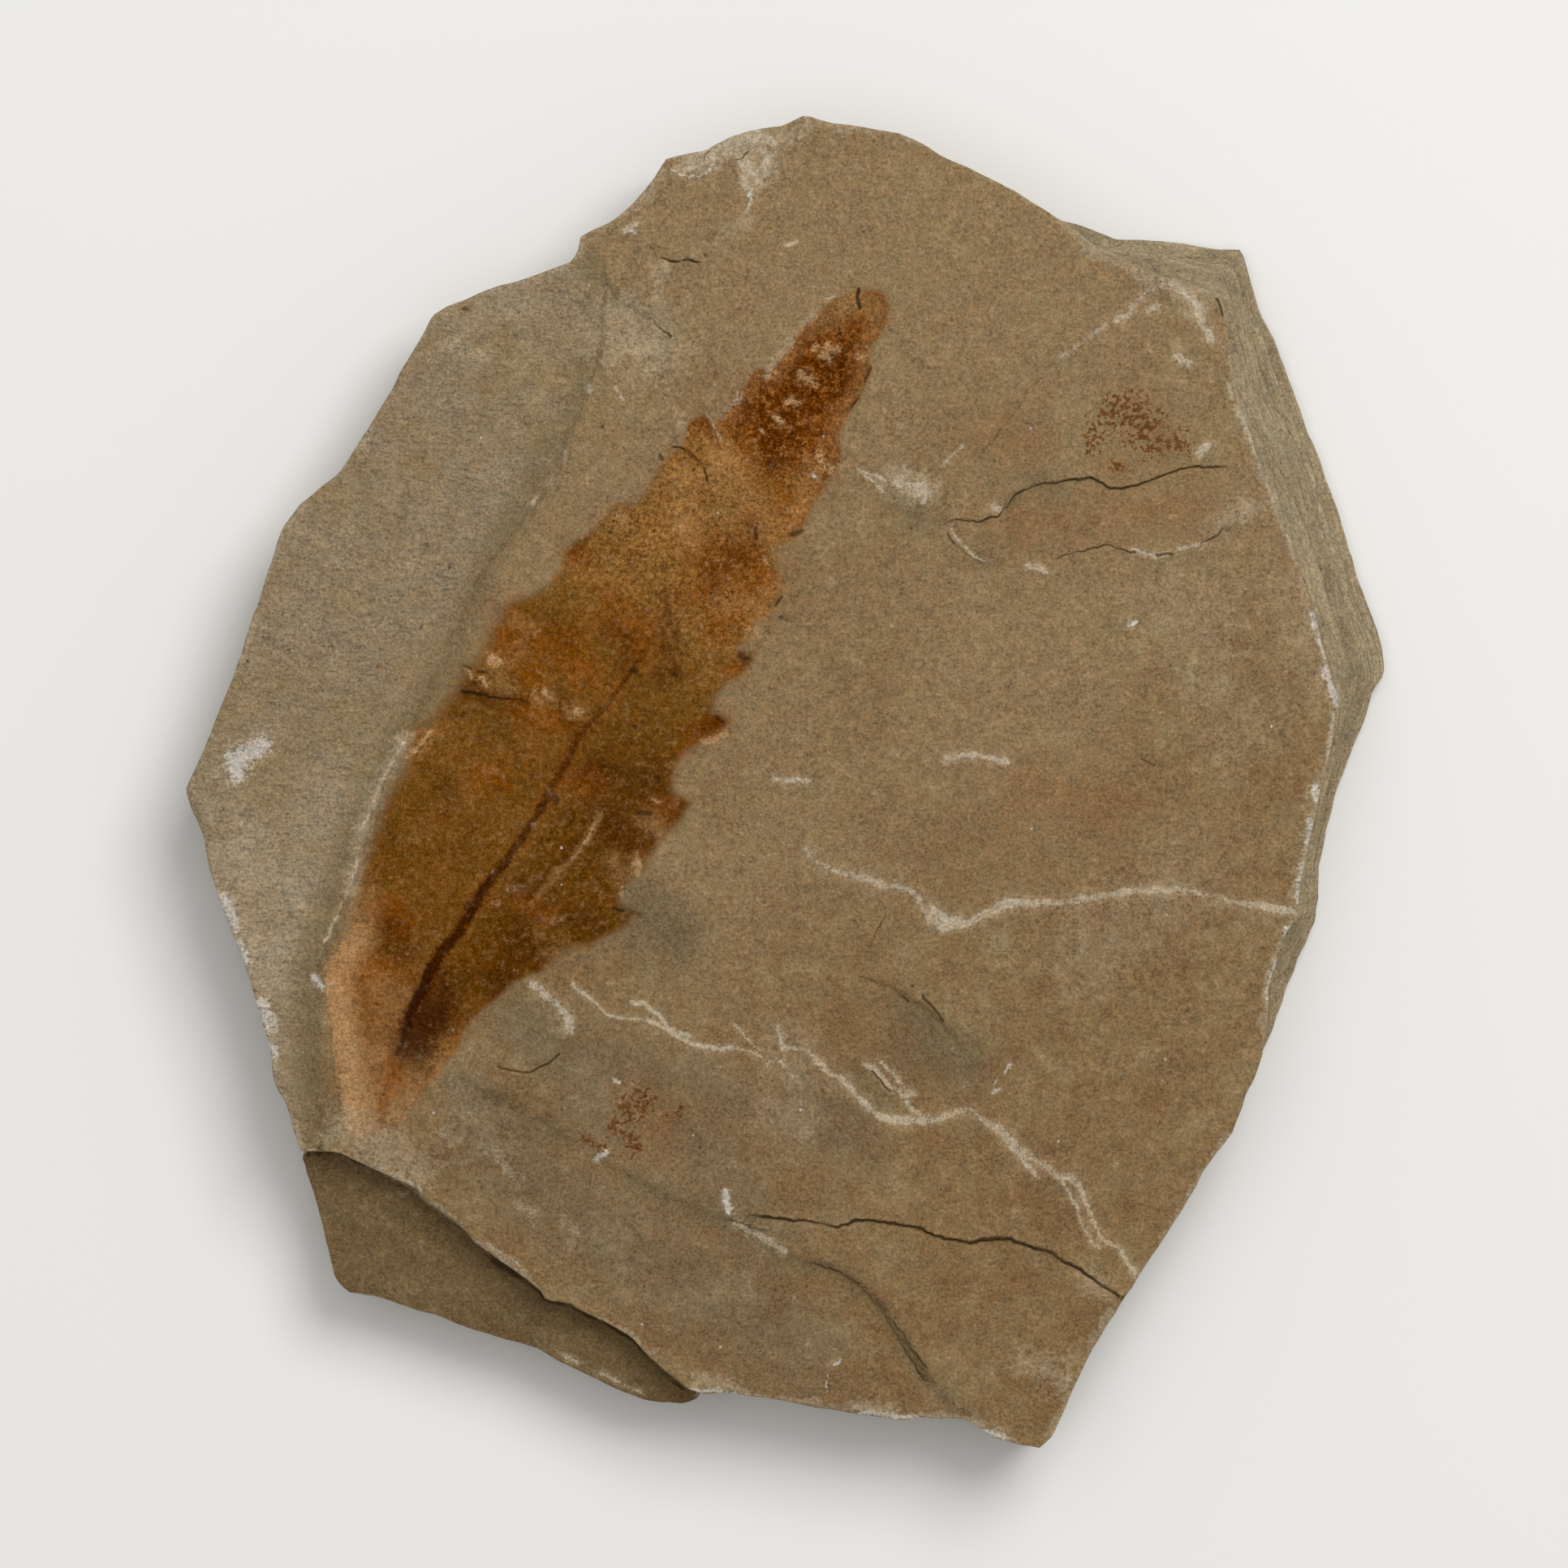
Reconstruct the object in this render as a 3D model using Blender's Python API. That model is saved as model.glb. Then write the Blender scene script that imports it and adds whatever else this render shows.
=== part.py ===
"""Fossil leaf plate: a broken slab of thinly bedded shale, lying flat, with a toothed leaf on its face.

Metres, +Z up. The slab rests on z = 0, and the origin is the middle of its box on that plane. Seen from
above, +X is right and +Y is up: the leaf's stalk end lies lower left and its tip upper right.
"""

from collections import namedtuple

import bpy
import numpy as np
from mathutils import Vector
from mathutils.geometry import delaunay_2d_cdt

MM = 0.001

# Heights of the slab's levels above the surface that it lies on.
FACE_LEVEL = 0.0112
LEDGE_LEVEL = 0.008
FOOT_LEVEL = 0.0015
BASE_CHAMFER = 0.0003

# How the broken sides are shaped.
RIM_CHIP = 0.0003
OVERHANG = 0.0003
UNDERCUT = 0.0006
LAMINA_STEP = 0.00012
LAMINA_SHIFT = 0.0005
UPPER_LAMINAE = 3
LOWER_LAMINAE = 4
LAMINA_KNOTS = 36
COLUMN_SPACING = 0.003
SMALLEST_ANGLE = 0.011

# The leaf's own relief: a shallow print with its midrib pressed in as a groove.
LEAF_DEPTH = 0.0003
LEAF_EDGE = 0.00035
MIDRIB_DEPTH = 0.0003
MIDRIB_WIDTH = 0.0011

# The upper face between its features: a gentle swell, on a net of points.
SWELL = 0.00012
SWELL_WAVES = ((110.0, 40.0, 0.0), (-60.0, 75.0, 1.0))
NET_SPACING = 0.0045
NET_MARGIN = 0.0016
LINE_SPACING = 0.003
END_SHARE = 0.15
CORNER_BIAS = 0.001
MERGE_DISTANCE = 1e-8

STONE_COLOUR = (0.25, 0.168, 0.085, 1.0)
STONE_ROUGHNESS = 0.92
SEED = 11

# Outline of the upper face, clockwise from its top point, in millimetres.
RIM = MM * np.array([
    (1.6, 51.1), (3.5, 50.5), (8.8, 49.7), (10.7, 48.9), (13, 47.5), (16.3, 46.1), (21.5, 42.9),
    (23.5, 40.7), (32.1, 37.5), (33.2, 37.3), (33.9, 35.1), (34.7, 28.5), (38.4, 19.3), (42.4, 6.3),
    (42, 3.7), (40.9, -0.8), (39.3, -8.2), (39.2, -9.9), (38.4, -11.3), (37, -15.6), (36.6, -20.7),
    (34.3, -26.5), (33.1, -28), (25.7, -39.6), (23.5, -43.2), (20.5, -49.8), (19.6, -50.7), (17.7, -50.5),
    (15.7, -49.8), (13.5, -48.4), (10.5, -48.4), (9.1, -48.7), (5.8, -48.2), (-1.4, -46.9), (-6.2, -46.6),
    (-7.5, -46.2), (-10.4, -43.6), (-11.6, -42.2), (-16.4, -39.7), (-18.3, -39.1), (-23.6, -35),
    (-25.3, -33.2), (-28.1, -30.9), (-34.2, -28.1), (-36.9, -28.1), (-38.1, -24.4), (-38.8, -23.4),
    (-39.2, -20.5), (-41.4, -13.3), (-43.8, -6.9), (-44.3, -4.2), (-45.8, -0.5), (-41.4, 10.2),
    (-38.4, 19.4), (-37, 21.3), (-34.2, 23.7), (-32.5, 26), (-26.8, 35.8), (-23.1, 37.6), (-16.2, 40),
    (-15.7, 41.8), (-13.3, 42.9), (-11.5, 44.4), (-9.9, 46.3), (-9.1, 47.7), (-6.1, 48.4), (-2.9, 49.8),
    (-0.3, 50.3)])

# Edge of the lower layer where the upper one has broken away, at the lower left.
LEDGE = MM * np.array([
    (-6.2, -46.8), (-6.5, -47.1), (-7.7, -47.5), (-9.3, -47.5), (-12.5, -46.6), (-19.1, -43.2),
    (-26.5, -40.8), (-31.1, -39.3), (-33.4, -39), (-34.4, -38.1), (-36.1, -31.2), (-37.1, -28.2)])

# Foot of the sloping side, which stands out past the rim on the right.
FOOT = MM * np.array([
    (21.8, 43.5), (25.8, 42.1), (27.7, 42.1), (33.5, 41.3), (35.4, 41.3), (36.8, 36.3), (37.8, 34.7),
    (40.6, 26.9), (46.2, 10.9), (46.4, 8.4), (45.5, 7.2), (45, 5.2), (42.5, -1.1), (41.3, -6.2),
    (41.1, -10.6), (39.8, -13.1), (38.1, -17.9), (37.3, -21)])

# The leaf, clockwise from its stalk end: the left margin going up, then the toothed right one.
LEAF = MM * np.array([
    (-33.4, -26.9), (-35.1, -15.4), (-33.3, -11.4), (-31.7, -4.6), (-29.3, 1.1), (-28.7, 4.3),
    (-26.8, 5.3), (-24.9, 8.6), (-23.3, 10), (-21.2, 13.7), (-18.2, 15.1), (-16.7, 17.7), (-13, 21.3),
    (-11.2, 21.6), (-9.9, 24.1), (-7.7, 25.9), (-7.8, 26.9), (-5.9, 28.4), (-5.1, 27.6), (-2.2, 31.8),
    (-1.1, 31.7), (2.4, 35.8), (5.6, 37.9), (7.4, 37.5), (8.1, 36.6), (6.4, 32.9), (6.7, 32), (5.5, 28.9),
    (4.1, 26.3), (4.3, 23.9), (1.9, 20.3), (0.5, 18.4), (-1, 17.7), (0.2, 15.6), (-0.9, 13.3),
    (-3.4, 10.4), (-2.1, 9.9), (-2.5, 8.9), (-5.2, 6.4), (-5.3, 5.5), (-4, 4.8), (-4.8, 3.7), (-7.7, 2.2),
    (-8.6, -0.5), (-7.1, -1.4), (-7.8, -2.9), (-12.6, -8.9), (-11.2, -9.9), (-12, -10.9), (-16.4, -12.7),
    (-20.5, -15.1), (-24.2, -18.8), (-29.1, -25.6), (-32, -27.2)])

MIDRIB = MM * np.array([
    (-30.3, -22.6), (-28.9, -17.7), (-25.9, -12.2), (-20.1, -3.6), (-17.7, -0.9), (-15.9, 2.7),
    (-11.5, 8.7)])

# A break in the thin top layers. One side of its line is lifted, by rise at the line, and the lift dies
# away over reach. The broken face is width wide. side is 1 for the left of the line's direction and -1 for
# the right, and a negative rise sinks that side. free says which ends run out on the face.
Break = namedtuple("Break", "points rise reach width side free")

BREAKS = [
    # The long soft step that parts the sunken left strip from the leaf's side.
    Break(MM * np.array([
        (-13.7, 38.2), (-14.3, 30.1), (-16.5, 25.2), (-22.7, 16.5), (-29.5, 2.2), (-35.4, -14.5),
        (-35.8, -20.7), (-35.4, -27.2)]), -0.0007, 0.03, 0.0014, -1, (True, False)),
    # The crack across the leaf.
    Break(MM * np.array([(-26.6, 7.5), (-21.7, 6.6), (-16.5, 5.2)]),
          0.0003, 0.004, 0.0003, 1, (True, True)),
    # The flaked top corner.
    Break(MM * np.array([(-0.7, 49.6), (-1.6, 45.6), (-4.1, 41.9), (-8.7, 40.1), (-10, 36)]),
          0.0004, 0.006, 0.0004, 1, (False, True)),
    # The flaked right corner.
    Break(MM * np.array([(31.4, 34.6), (28.9, 37.3), (26.3, 36.2), (17.9, 30.1), (13.3, 23.3)]),
          0.0004, 0.008, 0.0004, 1, (False, True)),
    # The lens-shaped flake below that corner, between two cracks.
    Break(MM * np.array([
        (10.8, 19.9), (16.4, 20.7), (18.2, 22.4), (23.5, 23.2), (26, 22.5), (30.3, 24.1), (35, 24.1)]),
          0.0004, 0.006, 0.0003, 1, (True, False)),
    Break(MM * np.array([
        (12.6, 19.6), (13.6, 17.1), (15.4, 16.5), (19.8, 16.3), (23.5, 17.5), (26.9, 17.7), (33.1, 19.6),
        (36, 21.3)]), 0.0003, 0.006, 0.0003, -1, (True, False)),
    # The pale broken edge right of the middle.
    Break(MM * np.array([
        (1.2, -5.2), (2.7, -6.8), (7.1, -7.7), (9.5, -8.9), (11.1, -10.2), (13.3, -11), (16.4, -9.5),
        (22.6, -9.1), (26.9, -8.3), (31.9, -8.6), (37.8, -9.8)]),
          0.0005, 0.009, 0.0005, -1, (True, False)),
    # The long pale broken edge from the leaf's foot to the lower right.
    Break(MM * np.array([
        (-17.1, -13.6), (-15.3, -16.1), (-8.4, -18.5), (-6, -20.1), (-0.4, -21), (2.1, -23.5),
        (4.6, -22.1), (6.8, -22.6), (8.3, -25), (12, -25.4), (14.5, -24.9), (17, -27.8), (21.9, -30.6),
        (23.2, -33.7), (26.2, -37)]), 0.0005, 0.009, 0.0005, -1, (True, False)),
    # The dark crack under it.
    Break(MM * np.array([
        (-4.7, -32.8), (-0.4, -32.9), (3.3, -34), (5.8, -33.1), (10.8, -33.4), (13.6, -34.5),
        (17.6, -34.7), (24.6, -37.6)]), 0.0005, 0.008, 0.0003, 1, (True, False)),
    # The rounded fold below the crack.
    Break(MM * np.array([(-6, -33.6), (-0.4, -35.6), (6.4, -39.6), (9.5, -43), (13.6, -47)]),
          0.0004, 0.008, 0.0014, 1, (True, False)),
]


def smooth_step(value):
    """0 below 0 and 1 above 1, with a smooth rise between."""
    value = np.clip(value, 0.0, 1.0)
    return value * value * (3.0 - 2.0 * value)


def beside_line(points, line):
    """Distance of each point from a line of straight runs, positive on its left, and its share of the way."""
    start = line[:-1]
    run = line[1:] - start
    length = np.linalg.norm(run, axis=1)
    direction = run / length[:, None]
    offset = points[:, None, :] - start[None, :, :]
    along = np.clip(np.einsum("psc,sc->ps", offset, direction), 0.0, length)
    gap = np.linalg.norm(offset - along[:, :, None] * direction[None, :, :], axis=2)
    left = direction[None, :, 0] * offset[:, :, 1] - direction[None, :, 1] * offset[:, :, 0]
    nearest = np.argmin(gap - CORNER_BIAS * np.abs(left), axis=1)
    pick = np.arange(len(points))
    way = np.concatenate([[0.0], np.cumsum(length)])
    share = (way[nearest] + along[pick, nearest]) / way[-1]
    return np.sign(left[pick, nearest]) * gap[pick, nearest], share


def inside_loop(points, loop):
    """True for each point inside a closed loop, by how often a level ray from it crosses the loop."""
    inside = np.zeros(len(points), dtype=bool)
    for first, second in zip(loop, np.roll(loop, -1, axis=0)):
        spans = (first[1] > points[:, 1]) != (second[1] > points[:, 1])
        slope = (second[0] - first[0]) / (second[1] - first[1] if second[1] != first[1] else 1.0)
        crosses = points[:, 0] < first[0] + (points[:, 1] - first[1]) * slope
        inside ^= spans & crosses
    return inside


def break_relief(points, item):
    """The lift of one break: rise beside the line, dying away over reach, and none at its free ends."""
    distance, share = beside_line(points, item.points)
    distance = distance * item.side
    start = smooth_step(share / END_SHARE) if item.free[0] else 1.0
    end = smooth_step((1.0 - share) / END_SHARE) if item.free[1] else 1.0
    face = smooth_step(distance / item.width + 0.5)
    return item.rise * face * np.exp(-np.maximum(distance, 0.0) / item.reach) * start * end


def leaf_relief(points):
    """The leaf's print: sunk by its depth inside the outline, with the midrib's groove on top of that."""
    closed = np.vstack([LEAF, LEAF[:1]])
    depth = np.where(inside_loop(points, LEAF), np.abs(beside_line(points, closed)[0]), 0.0)
    distance, share = beside_line(points, MIDRIB)
    ends = smooth_step(share / END_SHARE) * smooth_step((1.0 - share) / END_SHARE)
    groove = np.clip(1.0 - np.abs(distance) / (MIDRIB_WIDTH / 2), 0.0, 1.0) * ends
    return -LEAF_DEPTH * smooth_step(depth / LEAF_EDGE) - MIDRIB_DEPTH * groove


def face_height(points):
    """Height of the upper face at each point: its level, a gentle swell, the leaf and the breaks."""
    height = FACE_LEVEL + leaf_relief(points)
    for across, along, phase in SWELL_WAVES:
        height = height + SWELL * np.sin(across * points[:, 0] + along * points[:, 1] + phase)
    for item in BREAKS:
        height = height + break_relief(points, item)
    return height


def polar(points):
    """Angle and radius of each point about the middle, sorted by angle."""
    angle = np.arctan2(points[:, 1], points[:, 0])
    order = np.argsort(angle)
    return angle[order], np.hypot(points[:, 0], points[:, 1])[order]


def crossing(loop, angle):
    """Radius at which a ray from the middle meets a closed loop."""
    ray = np.array([np.cos(angle), np.sin(angle)])
    following = np.roll(loop, -1, axis=0)
    side = ray[0] * loop[:, 1] - ray[1] * loop[:, 0]
    next_side = ray[0] * following[:, 1] - ray[1] * following[:, 0]
    share = np.clip(side / np.where(side == next_side, 1.0, side - next_side), 0.0, 1.0)
    meets = (side * next_side <= 0.0) & (side != next_side)
    at = (loop + (following - loop) * share[:, None]) @ ray
    return at[meets & (at > 0.0)].max()


def rim_point(angle):
    """The rim's point on the ray at an angle."""
    return crossing(RIM, angle) * np.array([np.cos(angle), np.sin(angle)])


def column_angles():
    """Angles of the columns of the sides: one at every corner of the outlines, and more in wide gaps."""
    kept = list(polar(RIM)[0])
    for extra in (LEDGE, FOOT):
        for angle in polar(extra)[0]:
            if min(abs(angle - other) for other in kept) > SMALLEST_ANGLE:
                kept.append(angle)
    kept.sort()
    columns = []
    for angle, following in zip(kept, kept[1:] + [kept[0] + 2 * np.pi]):
        gap = np.linalg.norm(rim_point(following) - rim_point(angle))
        pieces = max(1, int(np.ceil(gap / COLUMN_SPACING)))
        columns.extend(angle + (following - angle) * step / pieces for step in range(pieces))
    return np.array(columns)


def arc_radius(arc, angles):
    """Radius of an open arc of outline at each angle, and nan beyond its ends."""
    arc_angle, arc_distance = polar(arc)
    return np.interp(angles, arc_angle, arc_distance, left=np.nan, right=np.nan)


def side_outlines(angles):
    """Radii of the rim, of the foot of the upper layer, of the lower layer's edge, and of the foot."""
    wrapped = (angles + np.pi) % (2 * np.pi) - np.pi
    rim = np.array([crossing(RIM, angle) for angle in angles])
    ledge = arc_radius(LEDGE, wrapped)
    foot = arc_radius(FOOT, wrapped)
    sloping = np.where(np.isnan(foot), rim - UNDERCUT, foot)
    share = (FACE_LEVEL - LEDGE_LEVEL) / (FACE_LEVEL - FOOT_LEVEL)
    middle = rim + (sloping - rim) * share
    upper_foot = np.where(np.isnan(ledge), middle, rim - OVERHANG)
    lower_edge = np.where(np.isnan(ledge), middle, np.maximum(ledge, rim - OVERHANG))
    foot_edge = np.where(np.isnan(ledge), sloping, lower_edge - UNDERCUT)
    return rim, upper_foot, lower_edge, foot_edge


def lamina_rings(top_radius, low_radius, top_height, low_height, count, angles, random):
    """Pairs of rings for a stack of laminae, each standing back by its own uneven amount.

    A lamina also drops a little where it meets the next."""
    rings = []
    knots = np.linspace(-np.pi, np.pi, LAMINA_KNOTS + 1)
    wrapped = (angles + np.pi) % (2 * np.pi) - np.pi
    for lamina in range(count):
        setback = random.uniform(0.0, LAMINA_SHIFT, LAMINA_KNOTS)
        setback = np.interp(wrapped, knots, np.append(setback, setback[0]))
        high, middle, low = lamina / count, (lamina + 0.5) / count, (lamina + 1) / count
        high_ring = top_height + (low_height - top_height) * high - LAMINA_STEP
        low_ring = top_height + (low_height - top_height) * low
        rings.append((top_radius + (low_radius - top_radius) * middle - setback, high_ring))
        rings.append((top_radius + (low_radius - top_radius) * low - setback, low_ring))
    return rings


def side_rings(angles, rim_height):
    """Rings of the broken sides from the rim down, each a radius and a height for every column."""
    random = np.random.default_rng(SEED)
    rim, upper_foot, lower_edge, foot_edge = side_outlines(angles)
    level = np.ones(len(angles))
    rings = [(rim, rim_height - RIM_CHIP)]
    rings += lamina_rings(
        rim, upper_foot, rim_height - RIM_CHIP, LEDGE_LEVEL * level, UPPER_LAMINAE, angles, random)
    rings.append((lower_edge, (LEDGE_LEVEL - LAMINA_STEP) * level))
    rings += lamina_rings(
        lower_edge, foot_edge, (LEDGE_LEVEL - LAMINA_STEP) * level, FOOT_LEVEL * level, LOWER_LAMINAE,
        angles, random)
    rings.append((foot_edge, (FOOT_LEVEL - LAMINA_STEP) * level))
    rings.append((foot_edge - BASE_CHAMFER, BASE_CHAMFER * level))
    rings.append((foot_edge - 2 * BASE_CHAMFER, 0.0 * level))
    return rings


def spread(line, closed=False):
    """The line with points added so that no run is longer than the line spacing."""
    runs = np.vstack([line, line[:1]]) if closed else line
    result = []
    for first, second in zip(runs[:-1], runs[1:]):
        pieces = max(1, int(np.ceil(np.linalg.norm(second - first) / LINE_SPACING)))
        result.extend(first + (second - first) * step / pieces for step in range(pieces))
    if not closed:
        result.append(runs[-1])
    return np.array(result)


def beside(line, distance, closed=False):
    """A line moved to its left by a distance, corner by corner."""
    if closed:
        ahead = np.roll(line, -1, axis=0) - np.roll(line, 1, axis=0)
    else:
        ahead = np.gradient(line, axis=0)
    ahead = ahead / np.linalg.norm(ahead, axis=1)[:, None]
    return line + distance * np.column_stack([-ahead[:, 1], ahead[:, 0]])


def face_lines():
    """The lines that the upper face's triangles keep: the leaf, its midrib and both edges of each break."""
    leaf = spread(LEAF, closed=True)
    lines = [(leaf, True), (beside(leaf, -LEAF_EDGE, closed=True), True)]
    midrib = spread(MIDRIB)
    lines += [(beside(midrib, offset), False) for offset in (-MIDRIB_WIDTH / 2, 0.0, MIDRIB_WIDTH / 2)]
    for item in BREAKS:
        line = spread(item.points)
        lines += [(beside(line, offset), False) for offset in (-item.width / 2, item.width / 2)]
    return lines


def net_points(border, taken):
    """A net of points in rows set half a step apart, kept clear of the border and of the lines."""
    step_x, step_y = NET_SPACING, NET_SPACING * np.sqrt(0.75)
    low, high = border.min(axis=0), border.max(axis=0)
    rows = []
    for row, y in enumerate(np.arange(low[1], high[1], step_y)):
        x = np.arange(low[0] + (row % 2) * step_x / 2, high[0], step_x)
        rows.append(np.column_stack([x, np.full(len(x), y)]))
    net = np.vstack(rows)
    net = net[inside_loop(net, border)]
    gap = np.linalg.norm(net[:, None, :] - taken[None, :, :], axis=2).min(axis=1)
    return net[gap > NET_MARGIN]


def upper_face(border):
    """Triangles of the upper face inside its border, with the border's own points first."""
    points, edges = [border], []
    count = len(border)
    for line, closed in face_lines():
        last = len(line) if closed else len(line) - 1
        edges += [(count + index, count + (index + 1) % len(line)) for index in range(last)]
        points.append(line)
        count += len(line)
    points.append(net_points(border, np.vstack(points)))
    flat = [Vector(point) for point in np.vstack(points)]
    outcome = delaunay_2d_cdt(flat, edges, [list(range(len(border)))], 1, MERGE_DISTANCE)
    placed = np.array([tuple(vertex) for vertex in outcome[0]])
    rim_index = {source: index for index, sources in enumerate(outcome[3]) for source in sources}
    return placed, [tuple(face) for face in outcome[2]], [rim_index[index] for index in range(len(border))]


def plate_mesh():
    """The slab as one closed mesh: the upper face, the rings of the sides, and the flat underside."""
    angles = column_angles()
    across = np.column_stack([np.cos(angles), np.sin(angles)])
    rim = side_outlines(angles)[0]
    flat, triangles, border = upper_face(across * (rim - RIM_CHIP)[:, None])
    height = face_height(flat)
    vertices = [np.column_stack([flat, height])]
    ring = border
    count = len(flat)
    for radius, level in side_rings(angles, height[border]):
        vertices.append(np.column_stack([across * radius[:, None], level]))
        lower = list(range(count, count + len(angles)))
        for here, following in zip(range(len(angles)), [*range(1, len(angles)), 0]):
            triangles.append((ring[here], lower[here], lower[following]))
            triangles.append((ring[here], lower[following], ring[following]))
        ring = lower
        count += len(angles)
    vertices.append(np.zeros((1, 3)))
    triangles += [(ring[here - 1], count, ring[here]) for here in range(len(ring))]
    vertices = np.vstack(vertices)
    box_middle = (vertices.min(axis=0) + vertices.max(axis=0)) / 2
    vertices[:, :2] -= box_middle[:2]
    mesh = bpy.data.meshes.new("shale_plate")
    mesh.from_pydata(vertices.tolist(), [], triangles)
    mesh.update()
    return mesh


def stone_material():
    """Matt tan shale."""
    material = bpy.data.materials.new("shale")
    material.use_nodes = True
    shader = material.node_tree.nodes["Principled BSDF"]
    shader.inputs["Base Color"].default_value = STONE_COLOUR
    shader.inputs["Roughness"].default_value = STONE_ROUGHNESS
    shader.inputs["Metallic"].default_value = 0.0
    return material


def build():
    """Clears the scene and adds the plate."""
    for old in list(bpy.data.objects):
        bpy.data.objects.remove(old, do_unlink=True)
    mesh = plate_mesh()
    mesh.materials.append(stone_material())
    plate = bpy.data.objects.new("shale_plate", mesh)
    bpy.context.collection.objects.link(plate)


build()
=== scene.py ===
"""Fossil leaf plate: a broken slab of tan shale with a toothed leaf printed on its upper face.

Outlines, breaks and marks are drawn on the view from above and placed by its pixels, right and down.
They become millimetres from its middle, +X right and +Y up, and widths and heights are in millimetres too.
The mesh is in metres, in the frame that is loaded below.
"""

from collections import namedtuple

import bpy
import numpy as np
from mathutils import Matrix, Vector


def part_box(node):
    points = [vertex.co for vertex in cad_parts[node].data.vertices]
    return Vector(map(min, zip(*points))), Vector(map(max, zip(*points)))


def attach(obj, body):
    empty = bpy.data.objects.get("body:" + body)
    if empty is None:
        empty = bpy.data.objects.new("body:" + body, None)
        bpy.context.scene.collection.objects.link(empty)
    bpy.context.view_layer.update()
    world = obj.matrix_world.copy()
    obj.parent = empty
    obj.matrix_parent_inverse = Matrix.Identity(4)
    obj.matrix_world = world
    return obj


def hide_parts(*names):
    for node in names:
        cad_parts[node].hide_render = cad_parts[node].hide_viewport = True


bl_info = {
    "name": "Fossil Leaf Plate",
    "version": (1, 0, 0),
    "blender": (4, 5, 0),
    "location": "3D View > Sidebar > Plate",
    "description": "Builds a broken shale slab with a fossil leaf, and the plain stage it is seen on",
    "category": "Add Mesh",
}

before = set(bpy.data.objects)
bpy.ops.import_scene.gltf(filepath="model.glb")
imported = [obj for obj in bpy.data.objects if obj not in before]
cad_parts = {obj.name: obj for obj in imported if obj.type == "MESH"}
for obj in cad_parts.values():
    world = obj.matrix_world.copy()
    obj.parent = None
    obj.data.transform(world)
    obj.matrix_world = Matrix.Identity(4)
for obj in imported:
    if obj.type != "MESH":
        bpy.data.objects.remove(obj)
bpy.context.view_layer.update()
cad_low, cad_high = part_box("shale_plate")

MM = 0.001
SEED = 40

# The view from above: its width and its middle in pixels, and the size of a pixel in millimetres.
VIEW_PIXELS = 1932
VIEW_MIDDLE = 966
PIXEL = 0.062

# How much wider a pixel is at the ledge's edge and at the foot, which lie further off than the upper face.
LEDGE_WIDER, FOOT_WIDER = 1.005, 1.0131

# Zones that the mesh carries: the upper face and the underside, the chipped rim, the sides and the ledge.
FACE_ZONE, CHIP_ZONE, SIDE_ZONE, LEDGE_ZONE = 0.0, 0.5, 1.0, 2.0

# The mark value where there is no mark, the distance written where an outline doesn't matter, how far below
# the upper face's level the marks still reach, and how soon a broken edge's mark ends where the break fades.
NO_MARK = -1.5
FAR = 9.0
MARK_DEPTH = 1.0
END_FADE = 1.4

# Relief of the upper face: height of its slow swells, width of the slope round the leaf's print, half width
# and depth of the midrib's groove, and the share of a break's length over which it fades at a free end.
SWELL = 0.12
PRINT_SLOPE = 0.45
GROOVE_WIDTH, GROOVE_DEPTH = 0.45, 0.16
BREAK_FADE = 0.1

# How a pale broken edge climbs: parts of its rise, and how many widths before its line each of them comes.
RISERS = ((0.55, 0.0), (0.25, -0.9), (0.2, 1.4))

# How many points of the leaf's middle line have a midrib, and the half width from which a mark is broad.
RIB_POINTS = 20
BROAD_MARK = 0.45

# How near to broad, fine and thin lines a triangle of the upper face is halved.
BROAD_BAND, FINE_BAND, THIN_BAND = 0.5, 0.3, 0.12

# The chipped rim: its least width, what its bites add, and how far in and down it runs in its own widths.
CHIP_LEAST, CHIP_BITE = 0.10, 0.45
CHIP_RUNS = ((0.35, 0.25), (0.0, 0.75))

# Unevenness of the rim and of the other outlines, how far the foot stands in under the rim and by how much
# that varies, how far the wall above the ledge leans in, and how far inside the rim the ledge's edge may be.
RIM_RAG, EDGE_RAG = 0.09, 0.08
UNDERCUT, UNDERCUT_PLAY = 0.6, 0.5
WALL_IN, LEDGE_IN = 0.35, 0.3

# The width from which there is a ledge, and how much more makes it a full one.
LEDGE_FROM, LEDGE_OVER = 0.3, 1.5

# Layers above and below the ledge, how far each stands back, how far a broken one stands back more, how far
# its face leans in, and the height of the slope to the next.
UPPER_LAYERS, LOWER_LAYERS = 7, 11
LAYER_STEP, LAYER_FRAY, LAYER_LOSS, LAYER_SHARED, LAYER_LEAN, LAYER_SLOPE = 0.10, 0.06, 0.3, 0.12, 0.05, 0.06

# The ledge: its rings, how much higher it is at the wall, how far it falls to its edge, the same fall where
# there is no ledge, its unevenness, and the rounding of its edge.
LEDGE_RINGS = 8
LEDGE_BACK, LEDGE_FALL, SIDE_FALL = 0.8, 0.9, 1.2
LEDGE_SWELL, LEDGE_ROUGH, LEDGE_ROUNDING = 0.10, 0.05, 0.15

# The foot: the short upright run under its widest part, then how far in, how high and of which zone each
# ring is.
FOOT_RUN = 0.1
FOOT_RINGS = ((0.15, 0.35, SIDE_ZONE), (0.6, 0.04, FACE_ZONE))

# The underside: its rings, its mean height over the ground, and its unevenness.
UNDER_RINGS, UNDER_LEVEL, UNDER_ROUGH = 8, 0.03, 0.06

# Sides that meet at more than this many degrees stay sharp.
SHARP_ANGLE = 38.0

# How far past the CAD model's box the slab may reach, in metres.
BOX_SLACK = 0.0005

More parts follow.
